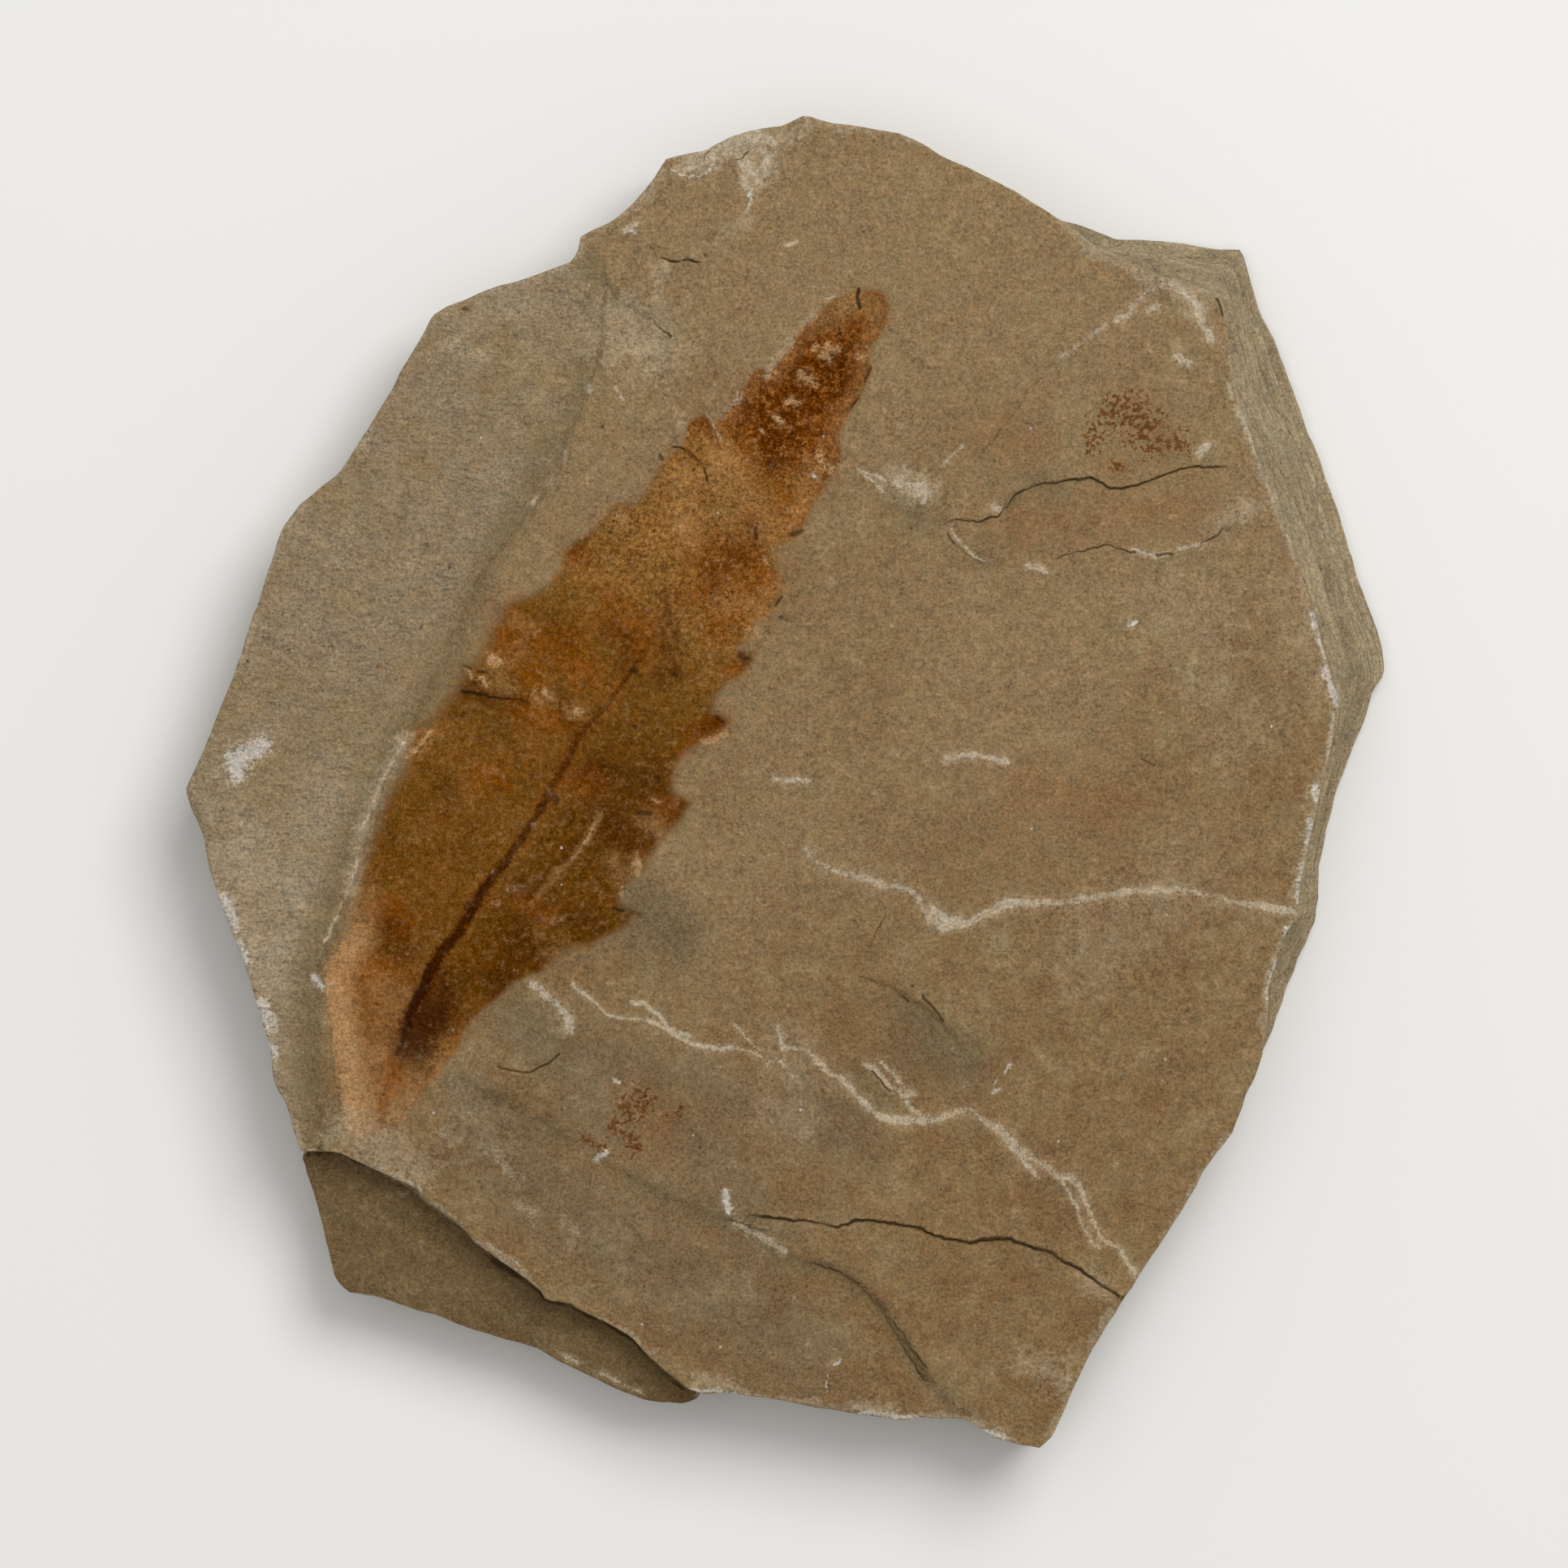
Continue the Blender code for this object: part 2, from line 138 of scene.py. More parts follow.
# Colour of the leaf's stain from the stalk end to the tip: share of the way, and a display colour.
LEAF_STOPS = [
    (0.0, (150, 117, 80)), (0.07, (140, 102, 62)), (0.13, (121, 77, 33)), (0.2, (105, 67, 18)),
    (0.54, (106, 71, 23)), (0.64, (130, 91, 42)), (0.71, (136, 95, 45)), (0.78, (136, 94, 44)),
    (0.83, (114, 59, 11)), (0.93, (119, 67, 19)), (0.98, (127, 95, 56))]

# The stage, in metres: half the floor's side, its drop, its finish, the even light, and the camera.
FLOOR_HALF, FLOOR_DROP = 1.5, 0.0001
FLOOR_COLOUR, FLOOR_ROUGHNESS = (0.74, 0.73, 0.71), 0.9
SKY_COLOUR, SKY_STRENGTH = (1.0, 1.0, 1.0), 0.34
LENS, SENSOR = 240.0, 36.0
CAMERA_PLACE = (-0.0003, -0.0002)

# How a triangle is split when one, two or three of its sides are halved. 0 to 2 are its corners, and 3 to 5
# are the halfway points of the sides that follow them.
SPLITS = {
    0: [(0, 1, 2)],
    1: [(0, 3, 2), (3, 1, 2)],
    2: [(3, 1, 4), (0, 3, 4), (0, 4, 2)],
    3: [(0, 3, 5), (3, 1, 4), (5, 4, 2), (3, 4, 5)],
}


def view_points(pixels, wider=1.0):
    """Points in millimetres, to a tenth, from pairs of pixels, whose distance from the view's middle is
    multiplied by a pixel's size there."""
    pairs = [[float(number) for number in pair.split(",")] for pair in pixels.split()]
    return np.array([
        (round((x - VIEW_MIDDLE) * PIXEL * wider, 1), round((VIEW_MIDDLE - y) * PIXEL * wider, 1))
        for x, y in pairs])


# Kinds of mark with a crisp edge, which need fine faces.
CRISP = ("pale", "white", "dark", "spot", "cream")

# Outline of the upper face, clockwise from its top point.
RIM = view_points("""
992,141 1023,151 1068,158 1108,165 1139,178 1175,200 1229,223 1273,250 1313,274 1345,309 1390,326
1437,344 1483,361 1502,364 1512,400 1518,450 1525,506 1544,548 1563,598 1586,655 1602,701 1617,756
1632,800 1650,865 1644,907 1625,979 1613,1044 1600,1098 1598,1125 1586,1148 1573,1182 1562,1217
1562,1243 1556,1300 1519,1394 1500,1417 1461,1480 1425,1538 1380,1605 1345,1663 1318,1721 1296,1770
1282,1783 1251,1781 1220,1770 1202,1754 1184,1747 1136,1747 1113,1751 1059,1744 1004,1734 944,1722
899,1718 866,1717 845,1711 827,1695 799,1670 779,1647 747,1629 701,1606 673,1601 669,1592 636,1567
586,1530 558,1502 528,1480 513,1465 462,1441 415,1419 371,1419 351,1360 340,1343 335,1323 334,1296
314,1229 299,1180 260,1078 251,1033 228,974 258,904 298,801 334,694 347,653 370,622 414,584 441,546
504,439 533,388 557,376 593,359 646,343 705,321 712,305 713,292 751,274 780,250 807,220 820,196 867,185
900,169 920,162 961,154""")

# Edge of the lower layer, where the upper one has broken away at the lower left.
LEDGE = view_points("""
866,1717 861,1722 843,1728 816,1728 793,1724 765,1714 737,1699 701,1681 659,1660 635,1653 590,1640
540,1620 495,1608 467,1596 430,1592 414,1578 408,1549 398,1507 387,1466 371,1419""", LEDGE_WIDER)

# Foot of the sloping side, which stands out past the rim on the right.
FOOT = view_points("""
1268,272 1289,270 1313,274 1348,285 1376,296 1407,295 1461,302 1500,308 1529,309 1535,326 1552,388
1567,414 1587,468 1613,537 1636,602 1655,655 1675,717 1702,792 1705,815 1704,832 1690,851 1682,884
1667,918 1655,949 1642,983 1633,1029 1624,1064 1623,1106 1621,1134 1600,1175 1585,1217 1573,1251
1558,1291 1539,1321 1520,1351 1501,1383""", FOOT_WIDER)

# The leaf, clockwise from its stalk end: the left margin going up, then the toothed right one.
LEAF = view_points("""
427,1400 419,1345 408,1280 400,1215 402,1180 429,1150 436,1122 444,1080 455,1040 471,995 484,970
493,948 497,922 503,896 534,880 556,850 565,828 590,804 604,778 613,762 624,745 645,733 672,722 686,704
696,681 722,660 739,640 756,622 785,618 799,600 806,578 822,562 842,548 840,532 852,517 871,508 884,521
903,490 919,472 931,453 949,455 963,433 977,410 1004,389 1024,367 1057,354 1085,361 1097,376 1091,398
1083,412 1069,436 1074,450 1066,477 1055,500 1042,518 1032,542 1037,558 1036,580 1020,597 1004,618
996,638 986,655 974,670 950,680 956,699 970,715 964,730 951,752 934,768 926,785 911,799 932,806 926,822
911,835 894,846 882,862 880,878 901,889 889,906 860,921 842,931 832,950 828,974 852,988 840,1012
820,1031 807,1049 792,1072 771,1096 762,1110 786,1126 772,1142 752,1153 732,1162 701,1171 686,1182
667,1198 636,1210 615,1231 594,1247 576,1269 564,1290 551,1311 521,1349 496,1379 478,1396 450,1404""")

# The leaf's middle line from the stalk end to the tip.
LEAF_AXIS = view_points("""
466,1395 470,1370 474,1345 482,1318 490,1300 500,1268 515,1235 530,1200 545,1172 562,1148 580,1120
597,1097 615,1073 635,1045 655,1012 672,985 695,945 715,908 748,868 781,825 800,795 840,730 885,660
930,585 975,500 1020,425 1060,358""")

# A break in the thin top layers. One side of its line is lifted by rise, dying away over reach. side is 1 for
# the left of the line's direction and -1 for the right, and a negative rise sinks that side. free says which
# ends run out on the face. pale is the width of the fresh edge, dark that of the shadowed crack, and soften
# is how many widths wider the step gets towards the line's end.
Break = namedtuple("Break", "points rise reach width side free pale dark soften", defaults=(0, 0, 0))

BREAKS = [
    # The long soft step between the sunken left strip and the leaf's side.
    Break(view_points("""
        747,272 743,350 740,418 739,450 726,476 713,508 697,540 690,572 677,597 651,634 600,700 540,831
        490,931 450,1050 419,1131 395,1200 389,1300 395,1405"""),
          rise=-0.42, reach=30, width=0.4, side=-1, free=(True, False), soften=2.5),
    # The crack across the leaf.
    Break(view_points("""
        563,850 580,852 598,856 615,860 637,862 655,870"""),
          rise=0.3, reach=4, width=0.25, side=1, free=(True, True), dark=0.11),
    # The flaked right corner.
    Break(view_points("""
        1503,474 1492,420 1485,402 1480,390 1475,377 1460,364 1448,353 1432,350 1418,357 1400,372
        1380,388 1362,398 1330,425 1310,440 1290,458 1270,480 1235,525 1210,560 1180,590"""),
          rise=0.3, reach=8, width=0.3, side=1, free=(False, True)),
    # The lens-shaped flake below that corner, between two cracks.
    Break(view_points("""
        1140,647 1160,645 1180,640 1205,640 1229,636 1240,622 1250,610 1262,603 1280,598 1305,594
        1325,590 1340,588 1352,593 1365,600 1380,602 1400,597 1420,590 1445,580 1470,578 1500,577
        1530,575"""),
          rise=0.3, reach=6, width=0.25, side=1, free=(True, True), dark=0.07),
    Break(view_points("""
        1169,650 1175,670 1190,683 1210,693 1240,697 1265,697 1290,700 1303,687 1320,682 1345,675
        1362,670 1380,677 1400,680 1425,682 1445,684 1480,670 1500,660 1510,648 1540,622"""),
          rise=0.3, reach=6, width=0.3, side=-1, free=(True, True)),
    # The pale broken edge right of the middle.
    Break(view_points("""
        994,1046 999,1060 1012,1070 1035,1076 1062,1080 1088,1092 1118,1095 1131,1106 1140,1122
        1148,1135 1163,1143 1188,1139 1212,1127 1240,1114 1262,1111 1300,1113 1340,1108 1372,1101
        1400,1096 1432,1097 1470,1098 1502,1104 1532,1113 1565,1120 1598,1125"""),
          rise=0.5, reach=9, width=0.4, side=-1, free=(True, False), pale=0.36),
    # The long pale broken edge from the leaf's foot to the lower right, in two runs.
    Break(view_points("""
        690,1192 700,1205 712,1221 733,1235 750,1252 785,1255 803,1260 822,1268 843,1284 860,1287
        880,1290 905,1290 925,1296 945,1308 962,1308 975,1322 990,1338 1000,1350"""),
          rise=0.4, reach=8, width=0.4, side=-1, free=(True, True), pale=0.2),
    Break(view_points("""
        985,1265 993,1282 1000,1300 1012,1312 1025,1325 1040,1330 1050,1342 1062,1358 1075,1368
        1085,1376 1102,1381 1130,1380 1152,1379 1178,1370 1197,1366 1215,1383 1235,1395 1250,1412
        1275,1427 1300,1447 1320,1450 1333,1470 1340,1490 1350,1510 1360,1525 1375,1535 1385,1548
        1393,1563 1401,1576"""),
          rise=0.5, reach=9, width=0.4, side=-1, free=(True, False), pale=0.34),
    # The dark crack under it.
    Break(view_points("""
        905,1497 925,1495 960,1500 990,1503 1015,1510 1032,1513 1050,1505 1075,1503 1100,1506 1130,1512
        1150,1520 1175,1528 1200,1529 1225,1527 1245,1526 1265,1533 1290,1542 1310,1552 1330,1563
        1350,1575 1370,1590 1380,1599"""),
          rise=0.35, reach=8, width=0.25, side=1, free=(True, False), dark=0.1),
    # The rounded fold below the crack.
    Break(view_points("""
        895,1502 915,1512 940,1520 960,1540 985,1555 1015,1560 1045,1572 1070,1590 1085,1605 1100,1630
        1115,1655 1130,1680 1150,1705 1180,1735"""),
          rise=0.35, reach=8, width=0.8, side=1, free=(True, False)),
    # Short soft folds and small flakes.
    Break(view_points("""
        1060,1201 1080,1209 1095,1215 1110,1225 1137,1240 1163,1262 1190,1295"""),
          rise=0.25, reach=5, width=0.6, side=1, free=(True, True)),
    Break(view_points("""
        700,1235 703,1270 697,1290 677,1308 665,1315 653,1321 635,1317 615,1312"""),
          rise=0.16, reach=4, width=0.4, side=1, free=(True, True)),
    Break(view_points("""
        560,1322 600,1345 640,1368 700,1402 740,1430 780,1452 830,1475 870,1495 895,1502"""),
          rise=0.2, reach=6, width=0.6, side=1, free=(True, False)),
    Break(view_points("""
        1058,576 1080,583 1100,580 1122,586 1148,596 1155,602 1142,618 1133,632"""),
          rise=0.2, reach=4, width=0.3, side=-1, free=(True, True)),
]

# Marks on the face by kind, as strokes drawn along what the view shows. A number alone starts a stroke and is
# its half width in millimetres. The pairs after it are the pixels, x right and y down, of its line.
MARKS = {}
MARKS["pale"] = """
.22 775,1232 795,1238 812,1252 822,1266 848,1278
.2 905,1265 925,1285 935,1295
.2 960,1270 962,1290 990,1294
.3 1068,1312 1080,1318 1095,1335 1110,1345 1122,1362 1132,1372
.24 1085,1308 1105,1325 1118,1345 1130,1348
.22 1310,1455 1320,1478 1328,1490 1333,1510 1343,1527 1355,1533
.2 1245,1412 1262,1432 1280,1450
.3 1376,394 1388,386 1402,372 1418,357 1432,350 1448,353
.34 1438,350 1456,358 1473,372 1479,390 1485,402 1492,420
.36 1385,388 1402,373
.34 1415,385 1425,375
.14 1362,398 1330,425 1310,440 1290,458
.3 1523,505 1532,520 1543,547
.14 1512,470 1518,490
.12 1543,547 1552,570 1565,600 1580,640 1595,690
.3 1620,760 1628,785 1635,805 1640,830 1648,855
.3 1645,880 1642,910 1634,960
.5 845,206 872,200 890,193 908,184
.6 912,200 925,210 937,222
.5 930,180 948,174
.7 868,190 900,177 935,166
.3 906,185 914,206 922,230
.4 936,176 942,194 945,214
.4 852,200 872,192 896,188
.2 928,232 926,252
.14 922,252 921,262
.24 770,283 785,275
.14 968,303 980,297
.18 1018,370 1028,366
.2 1058,577 1076,587 1092,592
.14 1062,582 1092,606
.8 1112,597 1138,604
.3 1138,618 1150,606
.14 1165,572 1185,545
.18 1172,650 1180,668 1200,687 1222,694
.3 1222,624 1230,628
.26 1265,695 1290,703
.2 1395,678 1420,684 1440,682
.2 1455,677 1485,668
.3 907,1508 930,1517 948,1528 964,1543
.4 655,1212 672,1228 688,1238 698,1255 703,1270
.12 872,508 880,525 890,540
.3 1478,560 1488,548
.3 1450,440 1462,448
.2 724,474 727,480
.16 697,555 695,566
.26 681,590 676,600
.2 660,612 654,620
.16 757,478 768,492
.3 955,958 998,962
.3 1165,935 1200,930 1240,938
.1 455,1434 490,1448 520,1466
.12 600,1530 630,1552 650,1566
.2 690,1672 720,1688 758,1706 790,1720
.4 1150,1122 1168,1134 1190,1138
.3 990,1047 1004,1062 1020,1068
.13 497,915 485,935 470,962 458,990 447,1020
.13 440,1060 432,1090
.12 425,1100 412,1130 402,1160
.2 330,650 322,672
"""
MARKS["haze"] = """
1.3 425,1390 465,1410 510,1440
.8 905,182 945,196
.22 1004,389 985,405 970,425 955,445 945,462
.2 915,485 900,500 890,515
.25 835,515 843,535
.4 817,328 811,348 805,374
.3 806,388 815,402
.35 770,385 763,370
.35 926,262 912,276 895,284 884,295
2.2 760,400 800,425
.8 772,378 812,400
.5 545,425 600,440
.8 1445,352 1460,364 1478,377
1 850,198 890,187 922,182
1.1 925,190 932,215
.7 1345,1578 1362,1590
.8 1262,1678 1290,1690 1312,1702
.25 612,1424 622,1440 640,1452
.25 690,1500 706,1520 700,1542
.3 640,1480 660,1490
.3 545,1395 560,1410
.5 1622,980 1618,1010 1610,1060 1603,1100
.45 1588,1150 1570,1200 1565,1232
.7 872,190 900,184 925,178
.5 940,180 960,174 980,164 997,154
.7 1100,585 1122,592 1148,600
.7 1507,645 1538,624
.5 862,1702 900,1706
.45 1060,1736 1100,1740
.5 1205,1752 1220,1766 1240,1774
.5 500,908 486,932 470,965 458,990 448,1020 440,1060 430,1095
"""
MARKS["white"] = """
.9 287,945 300,930 322,920
.7 284,932 292,958
.2 1247,1312 1240,1319
.1 1229,1330 1226,1334
.14 1226,1345 1232,1341
.1 1236,1322 1242,1326
.26 736,1431 749,1419
.34 893,1468 897,1492
.34 388,1203 397,1216
.16 1028,1680 1034,1678
.08 1019,1694 1020,1712
.2 1060,1742 1085,1744 1110,1747 1135,1748
.16 852,1712 880,1714 912,1718
.12 828,208 838,214 850,217 864,216 874,211 878,203
.16 758,1330 762,1333
.2 1394,768 1401,766
.5 274,1105 290,1142
.6 322,1235 334,1262
.4 336,1290 338,1300
.2 1001,587 1005,588
.4 295,1165 302,1185
.16 655,1638 668,1643
.14 692,1673 720,1688
.1 1440,353 1454,360 1468,370
.24 1617,752 1621,775
.3 1624,788 1632,806
.4 1632,826 1638,842 1649,864
.3 1620,970 1622,984
.3 1614,1008 1611,1045
.5 1607,1070 1604,1096 1601,1110
.26 1588,1140 1584,1150
.4 1573,1188 1567,1215 1565,1232
.14 925,236 927,248
.16 775,283 784,287
.3 1215,1762 1232,1771
"""
# Dark lines: painted shade in the open cracks and at the feet of steps and folds, and the painted shadow on
# the ledge under the upper layers' broken wall.
MARKS["dark"] = """
.17 378,1422 414,1423 463,1444 512,1468 526,1484 556,1506 584,1535 634,1573 668,1597
.17 668,1597 671,1604 701,1610 747,1633 778,1650 797,1672 826,1698 844,1714
.08 1050,1574 1068,1590 1084,1610 1100,1640 1120,1672 1140,1700
.07 745,352 760,368 782,384 800,394
.08 808,399 828,416
.1 1170,655 1175,670 1190,683 1210,693
.09 1303,687 1320,682 1345,675 1362,670 1380,677 1400,680
.1 1425,682 1445,684
.07 1480,670 1500,660 1510,650
.08 1060,1201 1080,1209 1095,1215 1110,1225 1120,1235
.1 1137,1226 1150,1240 1163,1256
.08 615,1312 635,1317 653,1321 665,1315 677,1308 690,1296
.09 815,317 830,321 848,320 862,323
.08 826,550 838,553 848,558 860,567 870,575 871,590
.04 1090,1125 1082,1145 1068,1180
.1 1497,364 1503,374 1508,392
.1 1404,935 1421,943
.1 755,1117 769,1122
.1 1075,1320 1098,1345
.08 866,198 870,190 876,183
.08 898,196 912,195 922,186
.07 776,376 796,388 806,396
.1 1000,1556 1034,1567 1060,1581
.08 1100,1626 1112,1645 1124,1664 1140,1684
.1 1057,357 1055,366 1060,380
"""
# Painted shade: grey-green strokes beside the steps, folds and flakes, where their shade falls.
MARKS["grey"] = """
.6 731,368 731,432 716,468 704,502 690,535
.9 684,540 655,600 632,640 602,690 584,740
.9 576,770 552,820 524,858
.8 508,880 488,910 470,950 450,990 432,1030 418,1070 404,1110
1 396,1150 380,1200 378,1260 384,1330 400,1400
.7 725,322 743,357 761,365 779,379 793,386 811,400 828,415
.4 895,1502 915,1516 940,1528 960,1548 985,1556
.6 990,1556 1015,1562 1045,1574 1066,1592 1082,1608 1098,1632 1113,1657 1130,1683 1152,1708 1182,1737
.6 560,1322 600,1345 640,1368 700,1402
.7 780,1452 830,1475 870,1495 895,1502
.8 1060,1328 1075,1345 1085,1362
.8 1110,1235 1150,1262 1195,1300
.8 1140,1285 1165,1312
1.1 1112,612 1135,640
.5 1100,600 1135,632
.4 1255,608 1240,625
.8 1275,592 1305,606
1.6 800,1110 840,1150
1.4 650,1250 680,1290
.4 1215,660 1205,690
"""
MARKS["rust"] = """
2 1030,440 995,490 960,535
1 1060,400 1045,425
2 775,1362 808,1388
1.8 925,515 945,560
1.8 1250,645 1340,635 1460,625
2.2 1270,975 1370,990
1.9 1230,530 1260,545
1.6 1390,500 1430,545
1.1 1365,570 1385,582
1.2 622,750 622,775 630,805 655,830
1.1 645,872 665,882 692,890
1.8 880,695 920,702 948,708
1.5 872,725 905,732 935,728
1.2 925,650 930,675
.9 905,768 880,776
1.4 755,758 775,775 792,792
1.2 690,790 720,830
.7 503,903 514,912
.9 460,1135 478,1118 494,1140
1 455,1190 475,1195
.8 428,1165 432,1200
.9 850,917 868,904 893,889
.8 815,993 832,996
.7 905,826 916,834
.9 700,680 712,684
1 925,510 945,530
.7 960,600 985,645
.9 590,955 620,965
1 715,965 735,970
.8 480,1330 488,1315
.35 484,1330 474,1350 469,1366 465,1388
.8 650,1115 672,1125
.6 862,512 870,520
.3 1074,359 1088,367 1096,384 1095,400
1 870,660 900,690
1 900,700 935,715
.9 640,770 668,800 690,815
.35 934,180 941,183
.35 826,202 830,201
.35 573,380 577,382
.4 588,468 602,472
"""
MARKS["umber"] = """
1.2 1035,448 1012,462 1035,478
1.3 990,508 975,475
1.1 980,515 960,535 950,560
1.1 930,500 955,515
.8 940,562 952,572
.6 1003,478 1006,500
.7 1030,385 1018,400
.6 928,648 932,668
.7 895,690 915,694
.5 880,702 882,732
.6 708,668 713,674
.5 572,852 600,858 640,862
1 720,950 742,952 760,955
1.3 735,960 790,964 805,974
.5 690,855 705,890
.6 815,790 835,830
.5 640,1090 655,1120
1.6 758,1020 780,1030
.9 736,984 750,1008
.8 800,1030 812,1040
.7 803,946 812,950
.6 808,832 814,842
.5 918,818 925,822
.7 836,1003 850,1000
1.1 520,1262 552,1252
1.3 512,1230 500,1275
.6 545,1205 552,1222
.4 541,970 544,972
.4 554,970 558,972
.5 866,897 882,892
.5 658,1130 676,1112
.3 716,1030 690,1060 668,1085 648,1112 632,1135
1.2 640,1155 668,1180
.9 625,1190 610,1215
.8 752,775 770,790 775,812
.6 820,735 830,795
.5 718,900 692,945
.5 900,668 915,676
.4 868,690 876,700
.4 918,730 930,734
.6 700,1125 735,1140
.9 480,1140 500,1175
"""
MARKS["bare"] = """
1.1 885,560 905,595 928,625 948,660
.7 1006,565 994,600
.5 987,618 978,648
.8 888,612 900,645
.8 1022,392 1046,376
1.6 838,600 858,640
.7 885,738 908,744 938,748
.7 962,712 955,728
.8 755,630 768,640
.6 634,764 648,772
.5 641,788 640,812
.8 612,820 610,832 622,843
.4 658,864 680,860
.5 705,878 718,876
.6 795,1010 808,1020 814,1032
.7 785,1068 778,1080
.5 768,1095 772,1104
.7 755,1060 768,1086
.9 470,1212 480,1230 492,1245
.9 436,1160 436,1192
.7 930,775 938,786
.7 868,588 880,600
.45 506,926 520,917 532,903
.22 738,1006 722,1036 704,1057 684,1078 667,1102 652,1120
.9 690,1175 700,1185
.7 505,1228 490,1240
"""
# Nearly black specks in the leaf; the thin lines among them are painted shade in hairline cracks and along
# the tip's sunken edge.
MARKS["spot"] = """
.12 1056,357 1053,367 1059,380
.3 988,654 975,658
.24 945,568 952,572
.2 930,652 932,664
.18 788,685 796,685
.22 813,560 816,566
.16 824,578 834,581
.1 830,551 848,555 862,567 872,573
.1 870,578 872,591
.2 965,736 957,746
.14 960,760 962,761
.36 912,806 919,811
.3 781,825 783,829
.12 838,806 846,808
.14 853,813 856,815
.2 831,831 833,834
.26 581,838 585,841
.14 571,820 580,822
.14 588,826 602,829
.1 632,836 642,837
.18 689,885 690,889
.3 683,980 687,988
.2 672,988 662,994
.28 809,960 811,962
.24 784,1001 800,1002
.2 882,883 892,890
.18 755,1117 762,1121 769,1123
.14 777,1096 779,1097
.14 784,1126 788,1130
.16 780,892 783,894
.2 548,1213 550,1215
.3 522,1206 514,1226 508,1246
.3 505,1256 498,1276 490,1298
.16 1072,452 1066,470
.14 1058,488 1047,505
.22 741,524 742,525
.14 517,774 520,769
.12 817,320 832,321 846,317 860,322
.16 868,313 870,315
.12 799,303 806,310
.2 573,380 575,382
"""
MARKS["cream"] = """
.34 1012,434 1022,440
.3 1018,428 1032,430
.2 1004,428 1008,426
.34 986,461 996,468
.26 996,470 1006,474
.2 970,496 978,492
.2 979,498 985,497
.26 956,512 964,517
.16 935,528 942,530
.2 1058,438 1066,442
.2 1020,372 1026,366
.2 946,456 956,460
.3 763,632 768,640
.2 945,690 948,694
.2 927,776 934,783
.3 606,812 616,818
.3 592,836 598,842
.2 577,828 579,834
.24 705,877 716,878
.2 655,858 660,852
.16 672,852 676,860
.26 868,914 880,912 892,904
.2 803,985 809,988
.26 787,1062 784,1076
.2 770,1092 766,1102
.14 508,925 520,916
.14 520,914 530,902
.1 733,1012 722,1036 704,1057
.3 1010,560 1014,575
.24 1024,582 1038,574
.2 1002,586 1004,588
.16 910,484 904,492
"""
MARKS["speckle"] = """
.8 790,1342 790,1366
1 772,1368 776,1400
.5 715,1402 740,1412
.4 824,1380 838,1364
.6 775,1422 786,1408
.6 752,1395 762,1385
1.5 1378,505 1418,520
1.3 1405,542 1450,550
.8 1350,520 1346,555
.5 1370,574 1392,577
"""
MARKS["cool"] = """
2.4 700,1290 800,1330
1.6 735,1330 765,1360
1.8 700,1350 765,1390
1.6 860,1325 905,1360
2.2 850,1400 900,1460 940,1540
3.2 600,1410 720,1500 850,1590 980,1660
2.2 1000,1370 1045,1400
1.6 625,1260 665,1290
1.5 570,1350 640,1400
2 1130,1290 1190,1310
2 760,1120 820,1160
"""
MARKS["light"] = """
2.6 1455,750 1530,900
1.5 568,1330 600,1400
1.6 985,1300 960,1370
1.6 1590,740 1625,850
1.4 1590,560 1612,640
2.6 1340,1180 1450,1110
1.6 975,1285 985,1385
1.6 575,385 640,368
2 300,1060 340,1200
"""


def smooth_step(value):
    """0 below 0 and 1 above 1, with a smooth rise between: three times the square less twice the cube."""
    value = np.clip(value, 0.0, 1.0)
    return value * value * (3.0 - 2.0 * value)


def noise(points, per_mm, seed, net=256):
    """Smooth random values from -1 to 1: numbers at the corners of a square net, blended between them."""
    table = np.random.default_rng(seed).uniform(-1.0, 1.0, (net, net))
    place = points * per_mm
    cell = np.floor(place).astype(int)
    across, up = smooth_step(place - cell).T
    column, row = cell.T % net
    next_column, next_row = (column + 1) % net, (row + 1) % net
    low = table[row, column] * (1 - across) + table[row, next_column] * across
    high = table[next_row, column] * (1 - across) + table[next_row, next_column] * across
    return low * (1 - up) + high * up


def rough(points, per_mm, octaves, seed):
    """A sum of noises, each about twice as fine and half as strong as the one before."""
    return sum(0.5 ** step * noise(points, per_mm * 2.03 ** step, seed + step) for step in range(octaves))


def around(angles, radius):
    """Points at the angles round the middle: the radius times the angle's cosine and its sine."""
    return np.column_stack([np.cos(angles), np.sin(angles)]) * radius[:, None]


def beside_line(points, line):
    """Distance of each point from a line of straight runs, positive on its left, and its share of the way.

    Each run gives the gap to its nearest point, and the smallest gap wins. Of two runs that meet at the
    nearest point, the one that the point stands more squarely beside wins, and gives the side."""
    best = np.full(len(points), np.inf)
    signed = np.zeros(len(points))
    share = np.zeros(len(points))
    run = line[1:] - line[:-1]
    length = np.linalg.norm(run, axis=1)
    way = np.concatenate([[0.0], np.cumsum(length)])
    for start, step, size, before in zip(line[:-1], run, length, way):
        ahead = step / size
        offset = points - start
        along = np.clip(offset @ ahead, 0.0, size)
        gap = np.linalg.norm(offset - along[:, None] * ahead, axis=1)
        left = ahead[0] * offset[:, 1] - ahead[1] * offset[:, 0]
        rank = gap - 0.001 * np.abs(left)
        closer = rank < best
        best = np.where(closer, rank, best)
        signed = np.where(closer, np.sign(left) * gap, signed)
        share = np.where(closer, (before + along) / way[-1], share)
    return signed, share


def inside_loop(points, loop):
    """True for each point inside a closed loop, by how often a level ray from it crosses the loop."""
    inside = np.zeros(len(points), dtype=bool)
    for first, second in zip(loop, np.roll(loop, -1, axis=0)):
        spans = (first[1] > points[:, 1]) != (second[1] > points[:, 1])
        slope = (second[0] - first[0]) / (second[1] - first[1] if second[1] != first[1] else 1.0)
        inside ^= spans & (points[:, 0] < first[0] + (points[:, 1] - first[1]) * slope)
    return inside


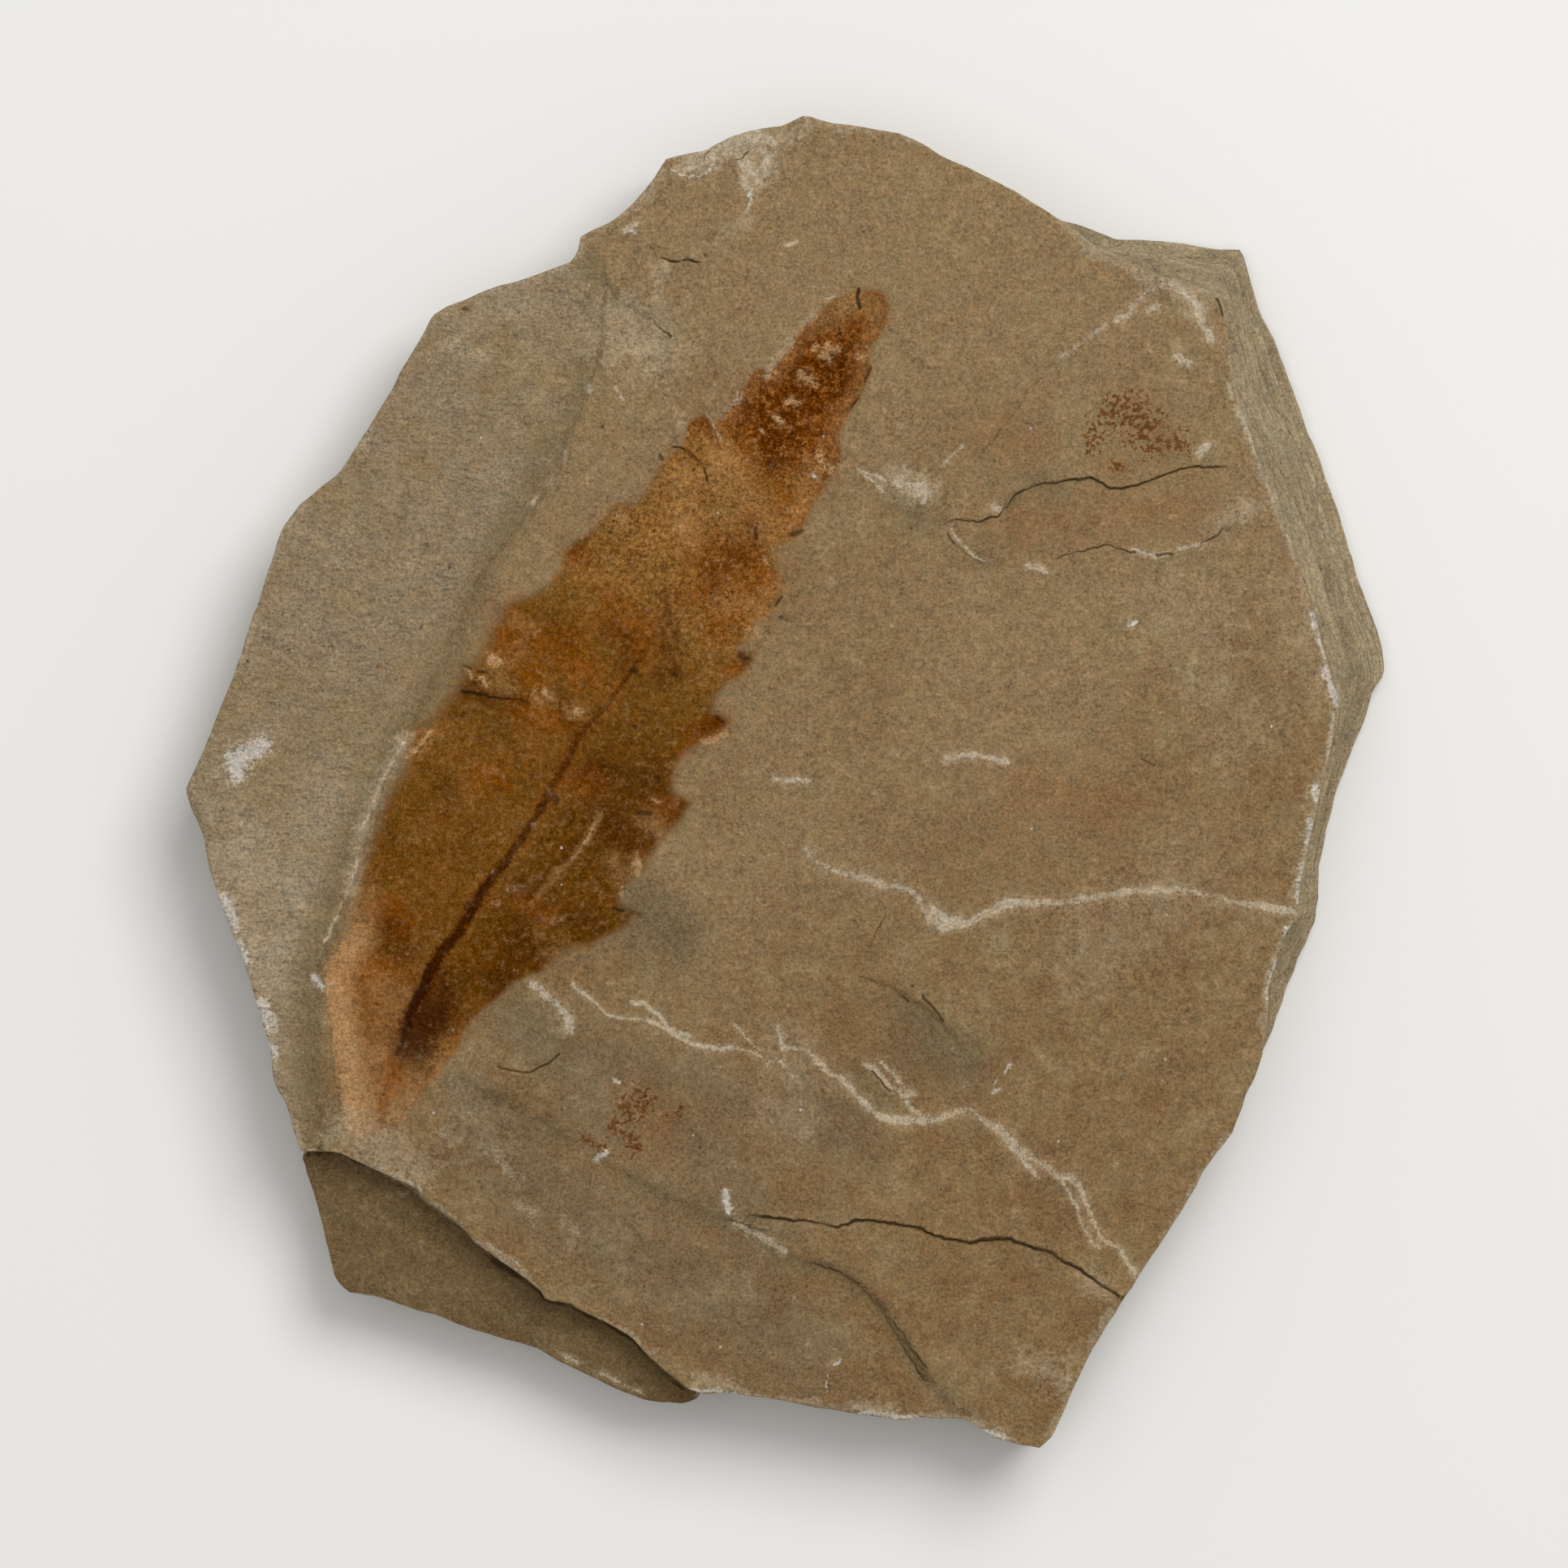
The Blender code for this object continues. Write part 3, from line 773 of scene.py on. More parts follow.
def inside_gap(points, loop):
    """Distance of each point from a closed loop, positive inside it."""
    gap = np.abs(beside_line(points, np.vstack([loop, loop[:1]]))[0])
    return np.where(inside_loop(points, loop), gap, -gap)


def loop_radius(loop, angles):
    """Radius at which the ray at each angle leaves a closed loop round the middle.

    A run of the loop is met where its two ends lie on different sides of the ray, and the share of the run
    that lies before the ray gives the place."""
    ray = np.stack([np.cos(angles), np.sin(angles)], axis=-1)
    first, second = loop, np.roll(loop, -1, axis=0)
    side = ray[:, :1] * first[:, 1] - ray[:, 1:] * first[:, 0]
    next_side = ray[:, :1] * second[:, 1] - ray[:, 1:] * second[:, 0]
    turn = np.where(side == next_side, 1.0, side - next_side)
    share = np.clip(side / turn, 0.0, 1.0)
    at = (ray @ first.T) * (1 - share) + (ray @ second.T) * share
    meets = (side * next_side <= 0.0) & (side != next_side) & (at > 0.0)
    return np.where(meets, at, 0.0).max(axis=1)


def arc_radius(arc, angles):
    """Radius of an open arc of outline at each angle, and nan beyond its ends."""
    arc_angle = np.arctan2(arc[:, 1], arc[:, 0])
    order = np.argsort(arc_angle)
    radius = np.hypot(arc[:, 0], arc[:, 1])
    return np.interp(angles, arc_angle[order], radius[order], left=np.nan, right=np.nan)


def wander(points):
    """The points moved a little by noise, so that every line drawn through them comes out uneven."""
    east, north = (0.10 * noise(points, 0.5, SEED + seed) + 0.11 * rough(points, 1.4, 3, SEED + seed + 1)
                   for seed in (1, 5))
    return points + np.column_stack([east, north])


def mark_lines(kind):
    """Each stroke of a kind of mark: its half width and its line's points."""
    strokes = []
    for word in MARKS[kind].split():
        if "," in word:
            strokes[-1][1].append(word)
        else:
            strokes.append((float(word), []))
    return [(width, view_points(" ".join(pairs))) for width, pairs in strokes]


def mark_field(points, kind):
    """1 on a mark's line, 0 at its half width and down to NO_MARK beyond, for the mark that is nearest."""
    field = np.full(len(points), NO_MARK)
    for width, line in mark_lines(kind):
        reach = (1.0 - NO_MARK) * width
        near = np.all((points > line.min(axis=0) - reach) & (points < line.max(axis=0) + reach), axis=1)
        own = 1.0 - np.abs(beside_line(points[near], line)[0]) / width
        field[near] = np.maximum(field[near], own)
    return field


def break_lift(points, item):
    """Lift of one break, its distance on the lifted side, and its strength, which fades at a free end.

    The lift is a smooth step across the line, or three of them where the edge is pale, times the strength,
    and it dies away by the exponential of the distance over the reach."""
    distance, share = beside_line(points, item.points)
    distance = distance * item.side
    start = smooth_step(share / BREAK_FADE) if item.free[0] else 1.0
    end = smooth_step((1.0 - share) / BREAK_FADE) if item.free[1] else 1.0
    strength = start * end * (1.0 + 0.4 * noise(points, 0.3, SEED + 50))
    width = item.width * (1.0 + item.soften * share)
    risers = RISERS if item.pale else ((1.0, 0.0),)
    face = sum(part * smooth_step(distance / width + 0.5 + shift) for part, shift in risers)
    return item.rise * face * np.exp(-np.maximum(distance, 0.0) / item.reach) * strength, distance, strength


def leaf_places(points):
    """For each point: distance inside the leaf, distance left of its middle line, and share of its length."""
    across, way = beside_line(points, LEAF_AXIS)
    return inside_gap(points, LEAF), across, way


def face_relief(points, sizes):
    """Height of the upper face over its level: two crossed waves and two noises, the sunken print with the
    midrib's groove in it, and every break."""
    moved = wander(points)
    inside, across, way = leaf_places(moved)
    height = SWELL * np.sin(0.11 * points[:, 0] + 0.04 * points[:, 1])
    height = height + SWELL * np.sin(0.075 * points[:, 1] - 0.06 * points[:, 0] + 1.0)
    height = height + 0.06 * noise(points, 0.11, SEED + 10) + 0.018 * rough(points, 0.5, 3, SEED + 11)
    firm = smooth_step((way - 0.06) / 0.2)
    height = height - sizes.leaf_depth / MM * firm * smooth_step(inside / PRINT_SLOPE)
    groove = np.clip(1.0 - np.abs(across) / GROOVE_WIDTH, 0.0, 1.0) * smooth_step((way - 0.1) / 0.1)
    height = height - GROOVE_DEPTH * groove * smooth_step((0.66 - way) / 0.2)
    for item in BREAKS:
        height = height + break_lift(moved, item)[0]
    return height


def disc_net(count):
    """The unit disc under a square net: x and y from -1 to 1, with each square ring bent to a round one."""
    line = np.linspace(-1.0, 1.0, count)
    across, up = np.meshgrid(line, line)
    wide = np.abs(across) > np.abs(up)
    radius = np.where(wide, across, up)
    other = np.where(wide, up, across)
    ratio = np.divide(other, radius, out=np.zeros_like(radius), where=radius != 0)
    turn = np.where(wide, np.pi / 4 * ratio, np.pi / 2 - np.pi / 4 * ratio)
    return radius * np.cos(turn), radius * np.sin(turn)


def near_lines(points, lines, band):
    """True for each point within the band of any of the lines."""
    near = np.zeros(len(points), dtype=bool)
    for line in lines:
        low, high = line.min(axis=0) - band, line.max(axis=0) + band
        box = np.flatnonzero(np.all((points > low) & (points < high), axis=1))
        near[box] |= np.abs(beside_line(points[box], line)[0]) < band
    return near


def split_near(points, faces, near):
    """The triangles, with all sides of those that have a near corner halved, and no gap to their neighbours.

    A side is halved for both of its triangles, so one with one, two or three halved sides becomes two, three
    or four. Sides on the border stay whole."""
    sides = np.sort(np.stack([faces, np.roll(faces, -1, axis=1)], axis=-1), axis=-1).reshape(-1, 2)
    pairs, number = np.unique(sides, axis=0, return_inverse=True)
    number = number.reshape(-1, 3)
    chosen = np.zeros(len(pairs), dtype=bool)
    chosen[number[near[faces].any(axis=1)]] = True
    chosen &= np.bincount(number.ravel()) == 2
    halfway = np.full(len(pairs), -1)
    halfway[chosen] = len(points) + np.arange(chosen.sum())
    points = np.vstack([points, points[pairs[chosen]].mean(axis=1)])
    cut = chosen[number]
    cuts = cut.sum(axis=1)
    turn = np.where(cuts == 2, np.argmin(cut, axis=1) + 1, np.argmax(cut, axis=1))
    order = (turn[:, None] + np.arange(3)) % 3
    six = np.hstack([
        np.take_along_axis(faces, order, axis=1), np.take_along_axis(halfway[number], order, axis=1)])
    parts = [six[cuts == count][:, corners] for count, shapes in SPLITS.items() for corners in shapes]
    return points, np.vstack(parts)


def refining_lines():
    """The lines of the upper face that need finer triangles, each round of them with its band."""
    marks = [mark for kind in CRISP for mark in mark_lines(kind)]
    fine = [item.points for item in BREAKS] + [line for width, line in marks if width < BROAD_MARK]
    broad = fine + [np.vstack([LEAF, LEAF[:1]]), LEAF_AXIS[:RIB_POINTS]]
    broad += [line for width, line in marks if width >= BROAD_MARK]
    thin = [item.points for item in BREAKS if item.dark] + [line for width, line in mark_lines("dark")]
    return [(broad, BROAD_BAND), (fine, FINE_BAND), (thin, THIN_BAND)]


def refined_face(count, radius_at):
    """The flat upper face: a disc net stretched to the outline, with its triangles halved along the lines.

    Returns the points, the triangles and the numbers of the border points, anticlockwise."""
    x, y = disc_net(count)
    angle = np.arctan2(y, x).ravel()
    points = around(angle, radius_at(angle) * np.hypot(x, y).ravel())
    index = np.arange(count * count).reshape(count, count)
    border = np.concatenate([index[0, :-1], index[:-1, -1], index[-1, :0:-1], index[:0:-1, 0]])
    corners = [index[:-1, :-1], index[:-1, 1:], index[1:, 1:], index[1:, :-1]]
    squares = np.stack(corners, axis=-1).reshape(-1, 4)
    faces = np.vstack([squares[:, [0, 1, 2]], squares[:, [0, 2, 3]]])
    for lines, band in refining_lines():
        points, faces = split_near(points, faces, near_lines(wander(points), lines, band))
    return points, faces, border


def chip_width(spot):
    """Width of the chipped rim at each point of it: narrow, with uneven bites where a noise is above 0."""
    return CHIP_LEAST + CHIP_BITE * np.maximum(0.0, rough(spot, 0.35, 3, SEED + 30))


def side_outlines(angles, sizes):
    """Radii of the rim, the upper layers' foot, the ledge's edge and the foot, and how much is ledge.

    Where there is no ledge, the upper layers' foot and the ledge's edge are one line on the slope between the
    rim and the foot. All of them are made uneven by noise."""
    rim = loop_radius(RIM, angles)
    spot = around(angles, rim)
    rim = rim + RIM_RAG * rough(spot, 0.5, 3, SEED + 20)
    ledge = arc_radius(LEDGE, angles)
    foot = arc_radius(FOOT, angles)
    undercut = UNDERCUT + UNDERCUT_PLAY * noise(spot, 0.15, SEED + 24)
    sloping = np.where(np.isnan(foot), rim - undercut, np.maximum(foot, rim - undercut))
    sloping = sloping + EDGE_RAG * rough(spot, 0.6, 3, SEED + 25)
    share = (sizes.face_level - sizes.ledge_level) / (sizes.face_level - sizes.foot_level)
    middle = rim + (sloping - rim) * share
    ledge = np.maximum(ledge + EDGE_RAG * rough(spot, 0.6, 3, SEED + 28), rim - LEDGE_IN)
    upper_foot = np.where(np.isnan(ledge), middle, rim - WALL_IN)
    ledge_edge = np.where(np.isnan(ledge), middle, ledge)
    foot_edge = np.where(np.isnan(ledge), sloping, ledge_edge - undercut)
    flat = smooth_step((ledge_edge - upper_foot - LEDGE_FROM) / LEDGE_OVER)
    return rim, upper_foot, ledge_edge, foot_edge, flat


def stack(top_radius, low_radius, top, low, count, spot, seed):
    """Rings for a stack of thin layers: a pair for each, its upper corner and its lower one.

    The corners lie on the straight slope from top to low, each layer moved in by its own noise, by more where
    a second noise says that it is broken, and by a noise that all layers share."""
    rings = []
    shared = LAYER_SHARED * noise(spot, 0.4, seed + 3)
    for layer in range(count):
        own_seed = seed + 7 * layer
        own = LAYER_STEP + LAYER_STEP * noise(spot, 0.2, own_seed)
        own = own + LAYER_FRAY * rough(spot, 0.9, 3, own_seed + 1)
        own = own + LAYER_LOSS * smooth_step((noise(spot, 0.22, own_seed + 4) - 0.1) / 0.15)
        upper, middle, lower = layer / count, (layer + 0.45) / count, (layer + 0.95) / count
        radius = top_radius + (low_radius - top_radius) * middle - own - shared
        rings.append((radius, top + (low - top) * upper - LAYER_SLOPE, SIDE_ZONE))
        radius = top_radius + (low_radius - top_radius) * lower - own - shared - LAYER_LEAN
        rings.append((radius, top + (low - top) * lower, SIDE_ZONE))
    return rings


def profile_rings(angles, top, sizes):
    """Radius, height and zone of each ring of the profile carried round the outline, from the rim down.

    It is the chipped rim, the upper layers, the ledge, the lower layers, the foot and the underside. The
    ledge falls evenly from its wall to its edge, with noise on its height, and the underside's rings shrink
    evenly to the middle, also with noise on their height."""
    ledge_level, foot_level = sizes.ledge_level / MM, sizes.foot_level / MM
    rim, upper_foot, ledge_edge, foot_edge, ledge_share = side_outlines(angles, sizes)
    spot = around(angles, rim)
    chip = chip_width(spot)
    rings = [(rim - chip * inwards, top - chip * down, CHIP_ZONE) for inwards, down in CHIP_RUNS]
    low = ledge_level + LEDGE_BACK * ledge_share
    rings += stack(rim, upper_foot, rings[-1][1], low, UPPER_LAYERS, spot, SEED + 100)
    fall = SIDE_FALL + (LEDGE_FALL - SIDE_FALL) * ledge_share
    for step in np.linspace(0.0, 1.0, LEDGE_RINGS + 1)[1:]:
        radius = upper_foot + (ledge_edge - upper_foot) * step
        place = around(angles, radius)
        bump = LEDGE_SWELL * noise(place, 0.12, SEED + 60) + LEDGE_ROUGH * rough(place, 0.5, 3, SEED + 61)
        rounding = ledge_share * LEDGE_ROUNDING * smooth_step((step - 0.9) / 0.1)
        height = low - fall * step + bump * ledge_share * min(1.0, 4 * step) - rounding
        rings.append((radius, height, SIDE_ZONE + (LEDGE_ZONE - SIDE_ZONE) * ledge_share))
    top = low - fall - LEDGE_ROUNDING * ledge_share
    rings += stack(ledge_edge, foot_edge, top, foot_level, LOWER_LAYERS, spot, SEED + 200)
    rings.append((foot_edge, foot_level - FOOT_RUN, SIDE_ZONE))
    rings += [(foot_edge - inwards, height, zone) for inwards, height, zone in FOOT_RINGS]
    edge = rings[-1][0]
    for share in np.linspace(1.0, 0.0, UNDER_RINGS + 2)[1:-1]:
        unevenness = UNDER_ROUGH * rough(around(angles, edge * share), 0.3, 3, SEED + 80)
        rings.append((edge * share, np.maximum(0.0, UNDER_LEVEL + unevenness), FACE_ZONE))
    return rings


def plate_arrays(sizes):
    """Points, faces and zone of the whole slab.

    The upper face is a refined disc net. Rings of the profile follow from its border round the outline to the
    underside, whose last ring closes on one middle point."""
    def border_radius(angles):
        rim = side_outlines(angles, sizes)[0]
        return rim - chip_width(around(angles, rim))

    flat, faces, border = refined_face(sizes.net_count, border_radius)
    height = sizes.face_level / MM + face_relief(flat, sizes)
    angles = np.arctan2(flat[border, 1], flat[border, 0])
    rings = profile_rings(angles, height[border], sizes)
    even = np.ones(len(angles))
    points = [np.column_stack([flat, height])]
    points += [np.column_stack([around(angles, radius), level * even]) for radius, level, kind in rings]
    points.append(np.array([[0.0, 0.0, UNDER_LEVEL]]))
    zone = [np.full(len(flat), FACE_ZONE)] + [kind * even for radius, level, kind in rings] + [[FACE_ZONE]]
    first = len(flat) + np.arange(len(rings) * len(angles)).reshape(len(rings), len(angles))
    index = np.vstack([border, first])
    following = np.roll(index, -1, axis=1)
    sides = np.stack([index[:-1], index[1:], following[1:], following[:-1]], axis=-1).reshape(-1, 4)
    last = first[-1].max() + 1
    fan = np.column_stack([index[-1], np.full(len(angles), last), following[-1]])
    return np.vstack(points), faces.tolist() + sides.tolist() + fan.tolist(), np.concatenate(zone)


def face_marks(points, zone, face_level):
    """The numbers that the material draws its marks from, for each vertex of the slab."""
    flat = wander(points[:, :2])
    inside, across, way = leaf_places(flat)
    seen = (points[:, 2] > face_level - MARK_DEPTH) | (np.abs(zone - LEDGE_ZONE) < 0.3)
    marks = {"across": across, "way": way, "zone": zone}
    marks["leaf"] = np.where(seen & (zone < SIDE_ZONE - 0.1), inside, -FAR)
    marks["rim"] = np.where(seen, inside_gap(points[:, :2], RIM), FAR)
    marks["strip"] = np.where(seen, -beside_line(flat, BREAKS[0].points)[0], -FAR)
    for kind in MARKS:
        marks[kind] = np.where(seen, mark_field(flat, kind), NO_MARK)
    # Each break adds its pale fresh edge, and the painted shade of its crack, set off towards the shadowed
    # side.
    for item in BREAKS:
        lift, distance, strength = break_lift(flat, item)
        for kind, width, shift in (("pale", item.pale, 0.0), ("dark", item.dark, item.dark / 2)):
            if width:
                own = 1.0 - np.abs(distance + shift) / width - END_FADE * np.maximum(0.0, 1.0 - strength)
                marks[kind] = np.maximum(marks[kind], np.where(seen, np.maximum(own, NO_MARK), NO_MARK))
    return marks


def mesh_from(name, points, faces):
    """A mesh object of points in metres and their faces, shaded smooth but for its sharp sides."""
    mesh = bpy.data.meshes.new(name)
    mesh.from_pydata(points.tolist(), [], faces)
    mesh.update()
    mesh.shade_smooth()
    mesh.set_sharp_from_angle(angle=np.radians(SHARP_ANGLE))
    piece = bpy.data.objects.new(name, mesh)
    bpy.context.collection.objects.link(piece)
    return piece


def write_attribute(mesh, name, values):
    """Stores one number for each vertex under a name that the material reads."""
    attribute = mesh.attributes.new(name, "FLOAT", "POINT")
    attribute.data.foreach_set("value", np.asarray(values, dtype=np.float32))


class Signal:
    """A node's output that Python's arithmetic works on: each operation adds the Math node that does it."""

    def __init__(self, maker, socket):
        self.maker = maker
        self.socket = socket

    def math(self, operation, first, *values):
        """The Math node of an operation."""
        return self.maker.add("Math", {"operation": operation}, dict(enumerate((first, *values))))

    def __add__(self, other):
        return self.math("ADD", self, other)

    def __radd__(self, other):
        return self.math("ADD", other, self)

    def __sub__(self, other):
        return self.math("SUBTRACT", self, other)

    def __rsub__(self, other):
        return self.math("SUBTRACT", other, self)

    def __mul__(self, other):
        return self.math("MULTIPLY", self, other)

    def __rmul__(self, other):
        return self.math("MULTIPLY", other, self)

    def __truediv__(self, other):
        return self.math("DIVIDE", self, other)

    def __rtruediv__(self, other):
        return self.math("DIVIDE", other, self)

    def __abs__(self):
        return self.math("ABSOLUTE", self)

    def other(self, name):
        """Another output of the same node."""
        return Signal(self.maker, self.socket.node.outputs[name])

    def rise(self, low, high):
        """0 up to low and 1 from high, with a smooth rise between; low may be above high for a fall."""
        return self.maker.add("MapRange", {"interpolation_type": "SMOOTHSTEP"},
                              {"Value": self, "From Min": low, "From Max": high})


class NodeMaker:
    """Adds nodes to one material."""

    def __init__(self, material):
        self.tree = material.node_tree
        self.tree.nodes.clear()

    def add(self, kind, settings=None, values=None, output=0):
        """A node of a kind: first its settings, with a ramp's stops, then its sockets' values or links."""
        node = self.tree.nodes.new("ShaderNode" + kind)
        settings = dict(settings or {})
        stops = settings.pop("stops", None)
        for name, value in settings.items():
            setattr(node, name, value)
        if stops:
            while len(node.color_ramp.elements) < len(stops):
                node.color_ramp.elements.new(0.5)
            for element, (position, colour) in zip(node.color_ramp.elements, stops):
                element.position = position
                element.color = (*linear(*colour), 1.0)
        for name, value in (values or {}).items():
            socket = node.inputs[name]
            if isinstance(value, Signal):
                self.tree.links.new(value.socket, socket)
            else:
                socket.default_value = value
        return Signal(self, node.outputs[output]) if node.outputs else None

    def mark(self, name):
        """A number that the mesh carries."""
        return self.add("Attribute", {"attribute_name": name}, output="Fac")

    def noise(self, place, per_mm, detail, roughness):
        """Smooth noise around 0."""
        return self.add("TexNoise", None, {
            "Vector": place, "Scale": per_mm, "Detail": detail, "Roughness": roughness}, output="Fac") - 0.5

    def mix(self, share, first, second, blend="MIX"):
        """A colour between two, or one laid on the other by the blend."""
        first, second = (value if isinstance(value, Signal) else (*value, 1.0) for value in (first, second))
        return self.add("Mix", {"data_type": "RGBA", "blend_type": blend},
                        {0: share, 6: first, 7: second}, output=2)


def linear(red, green, blue):
    """A display colour from 0 to 255 as scene light."""
    return tuple((value / 255 / 12.92) if value < 10.3 else ((value / 255 + 0.055) / 1.055) ** 2.4
                 for value in (red, green, blue))


class Shale(NodeMaker):
    """The shale's nodes. Its noises are per millimetre, and the shares of its washes are from 0 to 1."""

    def __init__(self, material, colours):
        super().__init__(material)
        self.colours = colours
        spot = self.add("TexCoord", output="Object")
        self.place = self.add("VectorMath", {"operation": "SCALE"}, {0: spot, "Scale": 1 / MM})
        self.north = self.add("SeparateXYZ", None, {0: self.place}, output="Y")
        self.leaf, self.across, self.way = self.mark("leaf"), self.mark("across"), self.mark("way")
        self.zone, self.rim, self.strip = self.mark("zone"), self.mark("rim"), self.mark("strip")
        self.top = self.zone.rise(0.7, 0.4)
        self.cloud = self.noise(self.place, 0.22, 2.0, 0.6)
        self.patchy = self.noise(self.place, 0.8, 3.0, 0.65)
        self.grain = self.noise(self.place, 2.4, 4.0, 0.78)
        self.fine = self.noise(self.place, 4.6, 3.0, 0.85)
        self.ragged = self.patchy * 2.8 + self.grain * 3.2
        self.torn = self.grain * 4.0 + self.fine * 4.5
        self.gaps = self.cloud * 3.0 + self.patchy * 2.0

    def crisp(self, name, unevenness, strength):
        """A mark with a ragged edge."""
        return (self.mark(name) + self.torn * unevenness).rise(0.0, 0.6) * strength

    def soft(self, name, unevenness, strength):
        """A mark that fades out over as much again as its own width."""
        return (self.mark(name) + self.ragged * unevenness).rise(-1.1, 1.0) * strength

    def dots(self, per_mm, radius, share, shift):
        """Small spots at random places: a share of the cells has one, of uneven size."""
        moved = self.add("VectorMath", {"operation": "ADD"}, {0: self.place, 1: (shift, shift, 0.0)})
        cells = self.add("TexVoronoi", None, {"Vector": moved, "Scale": per_mm}, output="Distance")
        pick = self.add("SeparateColor", None, {0: cells.other("Color")})
        size = pick.other("Green") * 0.8 + 0.5
        gap = cells / size + self.grain * (radius * per_mm)
        dot = gap.rise(radius * per_mm, radius * per_mm * 0.5)
        return dot * pick.rise(1.0 - share, 1.01 - share) * self.top

    def tint(self, name):
        """A colour of the plate's settings."""
        return tuple(getattr(self.colours, name))

    def washes(self, base, layers):
        """The base with layers of colour over it, the first one lowest, each by its share."""
        for name, share in layers:
            base = self.mix(share, base, self.tint(name))
        return base

    def stone(self):
        """Tan stone, browner towards the bottom, with the grey strip, olive clouds, ledge and sides."""
        warm = self.noise(self.place, 0.06, 2.0, 0.55) + self.north * -0.006
        stone = self.washes(self.tint("stone"), [
            ("stone_brown", warm.rise(-0.2, 0.25)),
            ("stone_grey", self.strip.rise(-1.0, 3.0) * 0.85),
            ("stone_pale", self.strip.rise(1.0, 4.0) * self.north.rise(6.0, -8.0) * 0.8),
            ("stone_olive", self.cloud * 2.6 + 0.35),
            ("stone_cool", self.soft("cool", 0.5, 0.38)),
            ("fresh", self.soft("light", 0.8, 0.17)),
            ("ledge", self.zone.rise(1.4, 1.7))])
        level = self.add("VectorMath", {"operation": "MULTIPLY"}, {0: self.place, 1: (0.05, 0.05, 4.6)})
        bands = self.noise(level, 1.0, 3.0, 0.7) + self.cloud * 0.3
        side = self.mix(bands.rise(-0.26, 0.22), self.tint("side_dark"), self.tint("side_pale"))
        stone = self.mix(self.zone.rise(0.4, 0.7) * self.zone.rise(1.7, 1.4), stone, side)
        return self.washes(stone, [("leaf_rust", self.soft("rust", 0.8, 0.22) * self.top)])

    def blade(self):
        """The leaf's stain: its colours along the way, an olive right half, rusty streaks, tinges, washes and
        mottles, the dark lobe near the tip, the midrib, the dark foot and the peach left of the stalk."""
        place, across, way = self.place, self.across, self.way
        right = across.rise(-0.3, -1.8) * way.rise(0.1, 0.2) * way.rise(0.6, 0.4)
        streaks = self.noise(self.add("CombineXYZ", None, {0: across * 2.4, 1: way * 30.0}), 1.0, 1.0, 0.6)
        tinge = self.noise(place, 0.8, 3.0, 0.8)
        mottle = self.noise(place, 2.2, 3.0, 0.85) + self.patchy * 0.2
        upper = way.rise(0.54, 0.64) * way.rise(0.85, 0.8) * 0.24 + 0.26
        lobe = way.rise(0.79, 0.83) * way.rise(1.0, 0.95)
        lobe_rim = lobe * (self.leaf + self.ragged * 0.3).rise(1.9, 0.2)
        rib_width = way.rise(0.6, 0.15) * 0.28 + 0.2
        rib_ends = way.rise(0.09, 0.12) * way.rise(0.62, 0.52)
        rib = (abs(across) / rib_width + self.torn * 0.25).rise(1.5, 0.4) * rib_ends
        foot = (abs(across + 1.3) + self.ragged * 0.6 + self.torn * 0.3).rise(2.5, 0.4)
        foot = foot * way.rise(0.06, 0.1) * way.rise(0.2, 0.13)
        peach = self.leaf.rise(3.0, 1.0) * across.rise(0.5, 2.2) * way.rise(0.23, 0.15)
        return self.washes(self.add("ValToRGB", {"stops": LEAF_STOPS}, {0: way}), [
            ("leaf_olive", right * 0.8),
            ("leaf_rust", streaks * 1.2 + 0.06),
            ("leaf_olive", tinge.rise(-0.02, 0.14) * 0.45),
            ("leaf_bare", tinge.rise(-0.03, -0.2) * 0.4),
            ("leaf_rust", self.soft("rust", 0.8, 0.74)),
            ("leaf_umber", self.soft("umber", 1.0, 0.55)),
            ("leaf_umber", mottle.rise(0.01, 0.13) * upper),
            ("leaf_bare", mottle.rise(-0.01, -0.14) * upper),
            ("leaf_umber", lobe * mottle.rise(-0.04, 0.08) * 0.68),
            ("leaf_orange", lobe * mottle.rise(-0.04, -0.12) * 0.5),
            ("leaf_bare", lobe_rim * 0.34),
            ("leaf_bare", self.soft("bare", 1.0, 0.4)),
            ("leaf_rust", abs(across).rise(1.3, 0.1) * rib_ends * 0.3),
            ("leaf_core", rib * (way.rise(0.44, 0.24) * 0.38 + 0.5)),
            ("leaf_core", foot * 0.78),
            ("leaf_peach", peach * 0.85)])

    def stain(self):
        """1 in the leaf and 0 outside it, with an edge that is more blurred on the left and below the tip."""
        way = self.way
        blur = self.across.rise(0.0, 1.0) * way.rise(0.18, 0.28) * way.rise(0.62, 0.4) * 0.6
        blur = blur + way.rise(0.18, 0.28) * way.rise(0.8, 0.74) * 0.2 + 0.28
        return (self.leaf / blur + self.ragged * 0.45 + self.torn * 0.3).rise(-0.8, 1.1)

